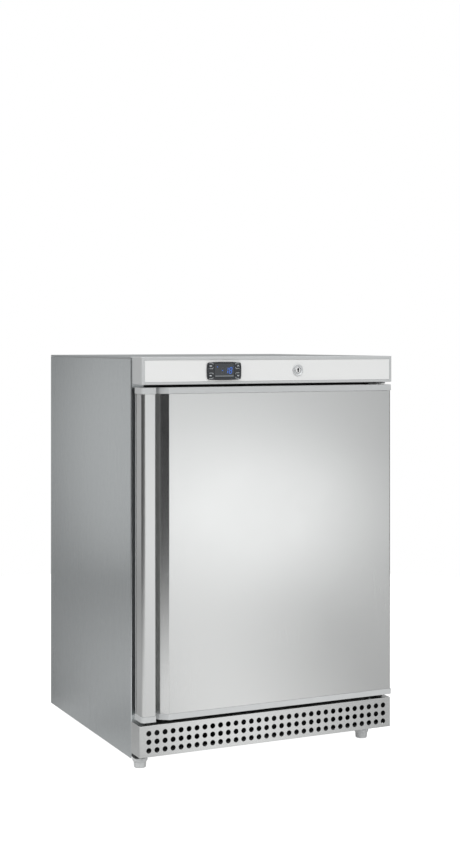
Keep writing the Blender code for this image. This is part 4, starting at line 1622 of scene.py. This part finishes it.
# painted shade: the flange takes the grey handle steel and its outer edge near-black, so the gap round the door
# reads as shade
for face in plug.data.polygons:
    x, y, z = (c / MM for c in face.center)
    if abs(x) > 283.7 or z < 119.2 or z > 776.3:
        face.material_index = 1
    if abs(x) > 296.8:
        face.material_index = 2
ready(plug, "door", LINER_WHITE, ["door_inner_liner"], [HANDLE_STEEL, PAINTED_SHADE_EDGE])


def gasket_build(bm):
    """The magnetic seal: a dart at the door, folded bellows, and the magnet
    pocket that lands on the case. Swept round the door with mitred corners."""
    profile = rounded(
        [
            (5.5, -248.9),
            (14.5, -248.9),
            (14.5, -246.6),
            (18.6, -245.4),
            (18.6, -243.6),
            (14.6, -242.2),
            (14.6, -241.0),
            (19.6, -239.6),
            (19.6, -234.2),
            (0.4, -234.2),
            (0.4, -239.6),
            (5.4, -241.0),
            (5.4, -242.2),
            (1.4, -243.6),
            (1.4, -245.4),
            (5.5, -246.6),
        ],
        [0.5, 0.5, 0.6, 0.7, 0.7, 0.7, 0.7, 0.9, 1.1, 1.1, 0.9, 0.7, 0.7, 0.7, 0.7, 0.6],
        4,
    )
    rings = [
        [
            bm.verts.new((x, y, z))
            for x, z in rectangle(
                -276.0 + d, 122.0 + d, 276.0 - d, 774.0 - d, max(6.0 - d, 1.0), 6
            )
        ]
        for d, y in profile
    ]
    for a, b in zip(rings, rings[1:] + rings[:1]):
        strip(bm, a, b)


one("door_gasket", gasket_build, "door", SEAL_DARK_AND_PAINTED_SHADE, "seal_grey", smooth=45)

# ====================================================== evaporator shelves
SHELF_X, SHELF_FRONT, SHELF_BACK = 248.5, -196.0, 198.0
SHELVES = {
    "evaporator_shelf_low": 318.0,
    "evaporator_shelf_middle": 460.0,
    "evaporator_shelf_high": 602.0,
}


def shelf_build(bm, z):
    """Refrigerant tube in long passes, wires across it above and below, and
    the two side rails that carry it in the liner."""
    middle = z + 4.5
    passes, edge = 10, SHELF_X - 20.0
    first, last = SHELF_FRONT + 16.0, SHELF_BACK - 22.0
    pitch = (last - first) / (passes - 1)
    route = []
    for k in range(passes):
        y = first + pitch * k
        way = 1 if k % 2 == 0 else -1
        route.append(Vector((-way * (edge - pitch / 2), y, middle)))
        route.append(Vector((way * (edge - pitch / 2), y, middle)))
        if k < passes - 1:
            for step in range(1, 12):
                turn = math.pi * step / 12
                route.append(
                    Vector(
                        (
                            way * (edge - pitch / 2 + pitch / 2 * math.sin(turn)),
                            y + pitch / 2 * (1 - math.cos(turn)),
                            middle,
                        )
                    )
                )
    add_tube(bm, route, 2.9, 14)
    wires = 46
    for k in range(wires):
        x = -edge + 16.0 + (2 * edge - 32.0) * k / (wires - 1)
        for level in (middle - 3.7, middle + 3.7):
            add_tube(
                bm,
                [(x, SHELF_FRONT + 1.2, level), (x, SHELF_BACK - 6.0, level)],
                0.8,
                8,
            )
    # border wires
    for y in (SHELF_FRONT + 2.2, SHELF_BACK - 7.0):
        add_tube(bm, [(-SHELF_X + 6, y, middle), (SHELF_X - 6, y, middle)], 2.4, 12)
    for side in (-1, 1):
        rail = [
            (side * (SHELF_X - 12.0), z + 0.1),
            (side * (SHELF_X - 0.2), z + 0.1),
            (side * (SHELF_X - 0.2), z + 8.9),
            (side * (SHELF_X - 2.0), z + 8.9),
            (side * (SHELF_X - 2.0), z + 1.9),
            (side * (SHELF_X - 12.0), z + 1.9),
        ]
        add_plate(
            bm,
            [rounded(rail, [0.3, 0.9, 0.5, 0.5, 0.4, 0.5], 3)],
            SHELF_FRONT + 0.2,
            SHELF_BACK - 0.2,
            "Y",
            0.3,
            2,
        )


for name, z in SHELVES.items():
    one(
        name,
        lambda bm: shelf_build(bm, z),
        "cabinet",
        EVAPORATOR,
        "evaporator_white",
        smooth=40,
    )


def probe_build(bm):
    add_lathe(
        bm,
        rounded([(0, 96.0), (3.0, 96.0), (3.0, 132.0), (0, 132.0)], [0, 2.2, 0.8, 0], 6),
        (243.5, 0, 556),
        "Y",
        28,
    )


bm = bmesh.new()
probe_build(bm)
probe = solid("temperature_probe", bm, 35)
combined(
    probe,
    [block((241.5, 108, 552), (249.6, 120, 560), 0.4, 1.0, "Y")],
    "UNION",
    35,
)
ready(probe, "cabinet", PIN_STEEL, ["temperature_probe"])

# =============================================================== compressor
COMP_X, COMP_Y = 40.0, 190.0
bm = bmesh.new()
add_lathe(
    bm,
    rounded(
        [
            (0, 205.0),
            (40, 204.0),
            (71, 190.0),
            (74.5, 122.5),
            (79, 122.5),
            (79, 118.0),
            (74.5, 118.0),
            (73, 62.0),
            (48, 45.0),
            (0, 44.0),
        ],
        [0, 60, 26, 1.0, 0.9, 0.9, 1.0, 22, 20, 0],
        8,
    ),
    (COMP_X, COMP_Y, 0),
    "Z",
    64,
)
can = solid("compressor", bm, 45)
bm = bmesh.new()
add_plate(
    bm,
    [rectangle(COMP_X - 98, COMP_Y - 62, COMP_X + 98, COMP_Y + 62, 14.0, 8)]
    + [circle(COMP_X + dx, COMP_Y + dy, 6.4, 32) for dx, dy in ((-82, -46), (82, -46), (-82, 46), (82, 46))],
    41.0,
    44.5,
    "Z",
    0.6,
    3,
)
base = solid("tool", bm)
stubs = [bar(4.5, (COMP_X + dx, 0, 150.0), COMP_Y + 54, COMP_Y + 72, "Y", 28) for dx in (-30, 30)]
combined(can, [base] + stubs, "UNION", 45)
softened(can, 0.4, 2, 60)
ready(can, "cabinet", COMPRESSOR_BLACK, ["compressor"])

for number, (dx, dy) in enumerate(((-82, -46), (82, -46), (-82, 46), (82, 46)), 1):
    one(
        f"compressor_grommet_{number}",
        lambda bm: add_lathe(
            bm,
            rounded(
                [
                    (0, 50.0),
                    (9.0, 50.0),
                    (9.0, 44.9),
                    (6.0, 44.9),
                    (6.0, 40.6),
                    (11.0, 40.6),
                    (12.0, 34.5),
                    (10.6, 33.6),
                    (10.6, 31.8),
                    (12.0, 30.9),
                    (12.0, 23.3),
                    (0, 23.3),
                ],
                [0, 2.0, 0.6, 0.3, 0.3, 1.2, 0.5, 0.4, 0.4, 0.5, 1.2, 0],
                4,
            ),
            (COMP_X + dx, COMP_Y + dy, 0),
            "Z",
            40,
        ),
        "cabinet",
        BLACK_RUBBER,
        "black_rubber",
        smooth=38,
    )


def terminal_build(bm):
    low, high = (COMP_X + 80.0, COMP_Y - 30, 80), (COMP_X + 122.0, COMP_Y + 30, 150)
    add_plate(
        bm,
        [rectangle(low[1], low[2], high[1], high[2], 6.0, 8)],
        low[0],
        high[0] - 1.6,
        "X",
        2.6,
        5,
    )
    for k in range(5):
        z = 97 + 9 * k
        add_plate(
            bm,
            [rectangle(low[1] + 10, z - 1.2, high[1] - 10, z + 1.2, 1.1, 4)],
            high[0] - 3.0,
            high[0] - 0.2,
            "X",
            0.6,
            2,
        )


one("terminal_cover", terminal_build, "cabinet", TERMINAL_BLACK, "terminal_black")

# ====================================================== condenser and lines
COIL_Y, COIL_X, PASSES, COIL_TOP, PITCH = 275.0, 236.0, 11, 812.0, 50.0
route = smooth_route(
    [
        (10.0, 262.4, 150.0),
        (10.0, 266.0, 150.0),
        (8.0, 271.0, 151.0),
        (3.0, 274.0, 154.0),
        (-6.0, COIL_Y, 159.0),
        (-120, COIL_Y, 200),
        (-COIL_X - 22, COIL_Y, 232),
        (-COIL_X - 30, COIL_Y, 262),
        (-COIL_X - 30, COIL_Y, 500),
        (-COIL_X - 30, COIL_Y, COIL_TOP - 22),
        (-COIL_X - 22, COIL_Y, COIL_TOP - 6),
        (-COIL_X - 6, COIL_Y, COIL_TOP),
    ],
    8,
)
for k in range(PASSES):
    z, way = COIL_TOP - PITCH * k, 1 if k % 2 == 0 else -1
    route.append(Vector((way * COIL_X, COIL_Y, z)))
    if k < PASSES - 1:
        for step in range(1, 14):
            turn = math.pi * step / 14
            route.append(
                Vector(
                    (
                        way * (COIL_X + PITCH / 2 * math.sin(turn)),
                        COIL_Y,
                        z - PITCH / 2 * (1 - math.cos(turn)),
                    )
                )
            )
        route.append(Vector((way * COIL_X, COIL_Y, z - PITCH)))
route += filleted(
    [
        (COIL_X + 2, COIL_Y, COIL_TOP - PITCH * (PASSES - 1)),
        (262.0, COIL_Y, COIL_TOP - PITCH * (PASSES - 1)),
        (262.0, COIL_Y, 282.3),
    ],
    14.0,
    8,
)
bm = bmesh.new()
add_tube(bm, route, 2.6, 16)
count = 40
for k in range(count):
    x = -228.0 + 456.0 * k / (count - 1)
    if abs(abs(x) - 150.0) < 8.0:
        continue
    for level in (-3.35, 3.35):
        add_tube(bm, [(x, COIL_Y + level, 303.0), (x, COIL_Y + level, 821.0)], 0.75, 8)
ready(
    solid("condenser_coil", bm, 40),
    "cabinet",
    CONDENSER_BLACK,
    ["condenser_coil"],
)
for label in ("left", "right"):
    kept(f"condenser_strap_{label}", ZINC)

one(
    "filter_drier",
    lambda bm: add_lathe(
        bm,
        rounded(
            [
                (0, 282.0),
                (3.4, 282.0),
                (3.4, 271.0),
                (9.0, 261.0),
                (9.0, 185.0),
                (2.9, 175.0),
                (1.6, 171.0),
                (1.6, 156.0),
                (0, 156.0),
            ],
            [0, 0.3, 3.0, 5.0, 5.0, 3.0, 2.0, 0.5, 0],
            6,
        ),
        (262.0, COIL_Y, 0),
        "Z",
        40,
    ),
    "cabinet",
    COPPER,
    "copper",
    smooth=38,
)
one(
    "suction_line",
    lambda bm: add_tube(
        bm,
        smooth_route(
            [
                (118, 258.9, 337),
                (118, 262.5, 337),
                (118, 265.4, 333),
                (118, 266, 322),
                (118, 266, 298),
                (117, 270, 262),
                (108, 276, 215),
                (92, 281, 172),
                (76, 279, 155),
                (70, 270, 150),
                (70, 262.4, 150),
            ],
            8,
        ),
        3.2,
        18,
    ),
    "cabinet",
    COPPER,
    "copper",
)
one(
    "cord_gland",
    lambda bm: add_lathe(
        bm,
        rounded(
            [
                (6.0, 292.0),
                (8.6, 290.5),
                (8.6, 287.1),
                (6.5, 287.1),
                (6.5, 279.0),
                (4.2, 279.0),
                (4.2, 292.0),
            ],
            [0.5, 0.7, 0.2, 0.2, 0.5, 0.5, 0.5],
            4,
        ),
        (220.0, 0, 33.5),
        "Y",
        48,
        closed=True,
    ),
    "cabinet",
    BLACK_RUBBER,
    "black_rubber",
    smooth=38,
)

# ============================================================ studio, camera
bm = bmesh.new()
bmesh.ops.create_circle(bm, cap_ends=True, segments=96, radius=2.3)
for vert in bm.verts:
    vert.co.z -= 0.0002
mesh = bpy.data.meshes.new("floor")
bm.to_mesh(mesh)
bm.free()
floor = bpy.data.objects.new("studio_floor", mesh)
scene.collection.objects.link(floor)
paper = Look("floor_paper", (0.30, 0.30, 0.30), 0.8)
paper.vary(paper.noise(40, 3.0), 0.006)
paper.shader.inputs["Specular IOR Level"].default_value = 0.0
paper.shader.inputs["Emission Color"].default_value = (1, 1, 1, 1)
# painted light: the paper's emission is strongest in front and falls off behind and to both sides, so what the
# metal reflects of it falls off there, while camera rays see it evenly white
spot = paper.add("ShaderNodeSeparateXYZ")
paper.link(paper.place, spot.inputs[0])
depth = paper.total(
    paper.spread(spot.outputs["Y"], 0.73, 0.27, -0.45, 0.1),
    paper.spread(spot.outputs["Y"], 1.0, 0.2, 0.6, 1.6),
    "MULTIPLY",
)
fan = paper.total(spot.outputs["X"], paper.total(spot.outputs["Y"], 0.35, "MULTIPLY"))
across = paper.total(
    paper.spread(fan, 0.55, 1.0, -0.40, -0.24),
    paper.spread(fan, 1.0, 0.38, -0.1, 0.26),
    "MULTIPLY",
)
across = paper.total(across, paper.spread(fan, 0.6, 0.0, -0.95, -0.5))
far = paper.spread(spot.outputs["X"], 0.15, 1.0, -1.9, -0.8)
front_part = paper.total(depth, across, "MULTIPLY")
beside = paper.total(spot.outputs["Y"], paper.total(spot.outputs["X"], 2.5, "MULTIPLY"))
side_part = paper.spread(beside, 0.27, 0.01, -0.82, -0.33)
behind = paper.spread(spot.outputs["Y"], 0.0, 1.0, 0.2, 0.45)
painted_light = paper.total(
    paper.total(front_part, paper.total(1.0, behind, "SUBTRACT"), "MULTIPLY"),
    paper.total(side_part, behind, "MULTIPLY"),
)
painted_light = paper.total(painted_light, far, "MULTIPLY")
shown = paper.add("ShaderNodeMix", data_type="FLOAT")
paper.link(paper.add("ShaderNodeLightPath").outputs["Is Camera Ray"], shown.inputs["Factor"])
paper.link(painted_light, shown.inputs["A"])
shown.inputs["B"].default_value = 1.05
paper.link(shown.outputs["Result"], paper.shader.inputs["Emission Strength"])
mesh.materials.append(paper.material)


def soft_light(name, place, target, size, power):
    lamp = bpy.data.lights.new(name, "AREA")
    lamp.shape = "ELLIPSE"
    lamp.size, lamp.size_y = size
    lamp.energy = power
    obj = bpy.data.objects.new(name, lamp)
    obj.location = place
    way = Vector(target) - Vector(place)
    obj.rotation_euler = way.to_track_quat("-Z", "Y").to_euler()
    scene.collection.objects.link(obj)
    return obj


soft_light("front_right_soft", (1.0, -2.5, 0.25), (-0.05, -0.29, 0.5), (1.0, 0.55), 1.1)
soft_light("left_high_soft", (-2.1, -0.5, 1.9), (-0.3, -0.25, 0.6), (1.2, 1.2), 12)
soft_light("left_rear_soft", (-0.84, 1.10, 0.58), (-0.3, -0.2, 0.65), (0.36, 0.8), 0.32)

world = bpy.data.worlds.new("studio")
world.use_nodes = True
scene.world = world
tree = world.node_tree
tree.nodes.clear()


def sky(kind, *inputs, **settings):
    """A world node with its inputs linked or set in order; its first output."""
    node = tree.nodes.new(kind)
    for key, value in settings.items():
        setattr(node, key, value)
    for socket, value in zip(node.inputs, inputs):
        if isinstance(value, bpy.types.NodeSocket):
            tree.links.new(value, socket)
        elif value is not None:
            socket.default_value = value
    return node.outputs[0]


heading = sky(
    "ShaderNodeVectorMath",
    tree.nodes.new("ShaderNodeTexCoord").outputs["Generated"],
    operation="NORMALIZE",
)
split = tree.nodes.new("ShaderNodeSeparateXYZ")
tree.links.new(heading, split.inputs[0])


def ease(value, start, end, low=0.0, high=1.0):
    return sky(
        "ShaderNodeMapRange", value, start, end, low, high, interpolation_type="SMOOTHSTEP"
    )


def lobe(way, inner, outer):
    """1 within the inner angle of a direction, falling to 0 at the outer."""
    node = tree.nodes.new("ShaderNodeVectorMath")
    node.operation = "DOT_PRODUCT"
    tree.links.new(heading, node.inputs[0])
    node.inputs[1].default_value = Vector(way).normalized()
    return ease(
        node.outputs["Value"], math.cos(math.radians(outer)), math.cos(math.radians(inner))
    )


def maths(operation, a, b):
    return sky("ShaderNodeMath", a, b, operation=operation)


overhead = ease(split.outputs["Z"], 0.12, 0.75, 0.0, 0.5)
front = lobe((0.15, -0.99, -0.02), 12, 36)
bank = lobe((-0.05, -0.80, 0.60), 16, 44)
flag = maths(
    "MULTIPLY", lobe((-1.0, -0.25, -0.05), 54, 78), ease(split.outputs["Z"], 0.05, 0.30, 1.0, 0.0)
)
right = lobe((1.0, -0.1, 0.0), 22, 58)
level = maths("ADD", maths("ADD", 0.31, overhead), maths("MULTIPLY", front, 0.53))
level = maths("ADD", level, maths("MULTIPLY", bank, 1.2))
level = maths("MULTIPLY", level, maths("SUBTRACT", 1.0, maths("MULTIPLY", flag, 0.985)))
level = maths("MULTIPLY", level, maths("SUBTRACT", 1.0, maths("MULTIPLY", right, 0.72)))
around = tree.nodes.new("ShaderNodeBackground")
around.inputs["Color"].default_value = (0.985, 0.995, 1.0, 1)
tree.links.new(level, around.inputs["Strength"])
backdrop = tree.nodes.new("ShaderNodeBackground")
backdrop.inputs["Color"].default_value = (1, 1, 1, 1)
mix = tree.nodes.new("ShaderNodeMixShader")
tree.links.new(tree.nodes.new("ShaderNodeLightPath").outputs["Is Camera Ray"], mix.inputs[0])
tree.links.new(around.outputs[0], mix.inputs[1])
tree.links.new(backdrop.outputs[0], mix.inputs[2])
out = tree.nodes.new("ShaderNodeOutputWorld")
tree.links.new(mix.outputs[0], out.inputs["Surface"])

lens = bpy.data.cameras.new("camera")
lens.sensor_width = 36.0
lens.lens = 1470.2 / 842 * 36.0
lens.shift_x = 2.3 / 842
lens.shift_y = -79.0 / 842
lens.clip_start, lens.clip_end = 0.05, 60.0
camera = bpy.data.objects.new("camera", lens)
camera.location = (-1.4236, -3.0894, 0.8858)
camera.rotation_euler = (math.radians(90), 0, math.radians(-25.24))
scene.collection.objects.link(camera)
scene.camera = camera
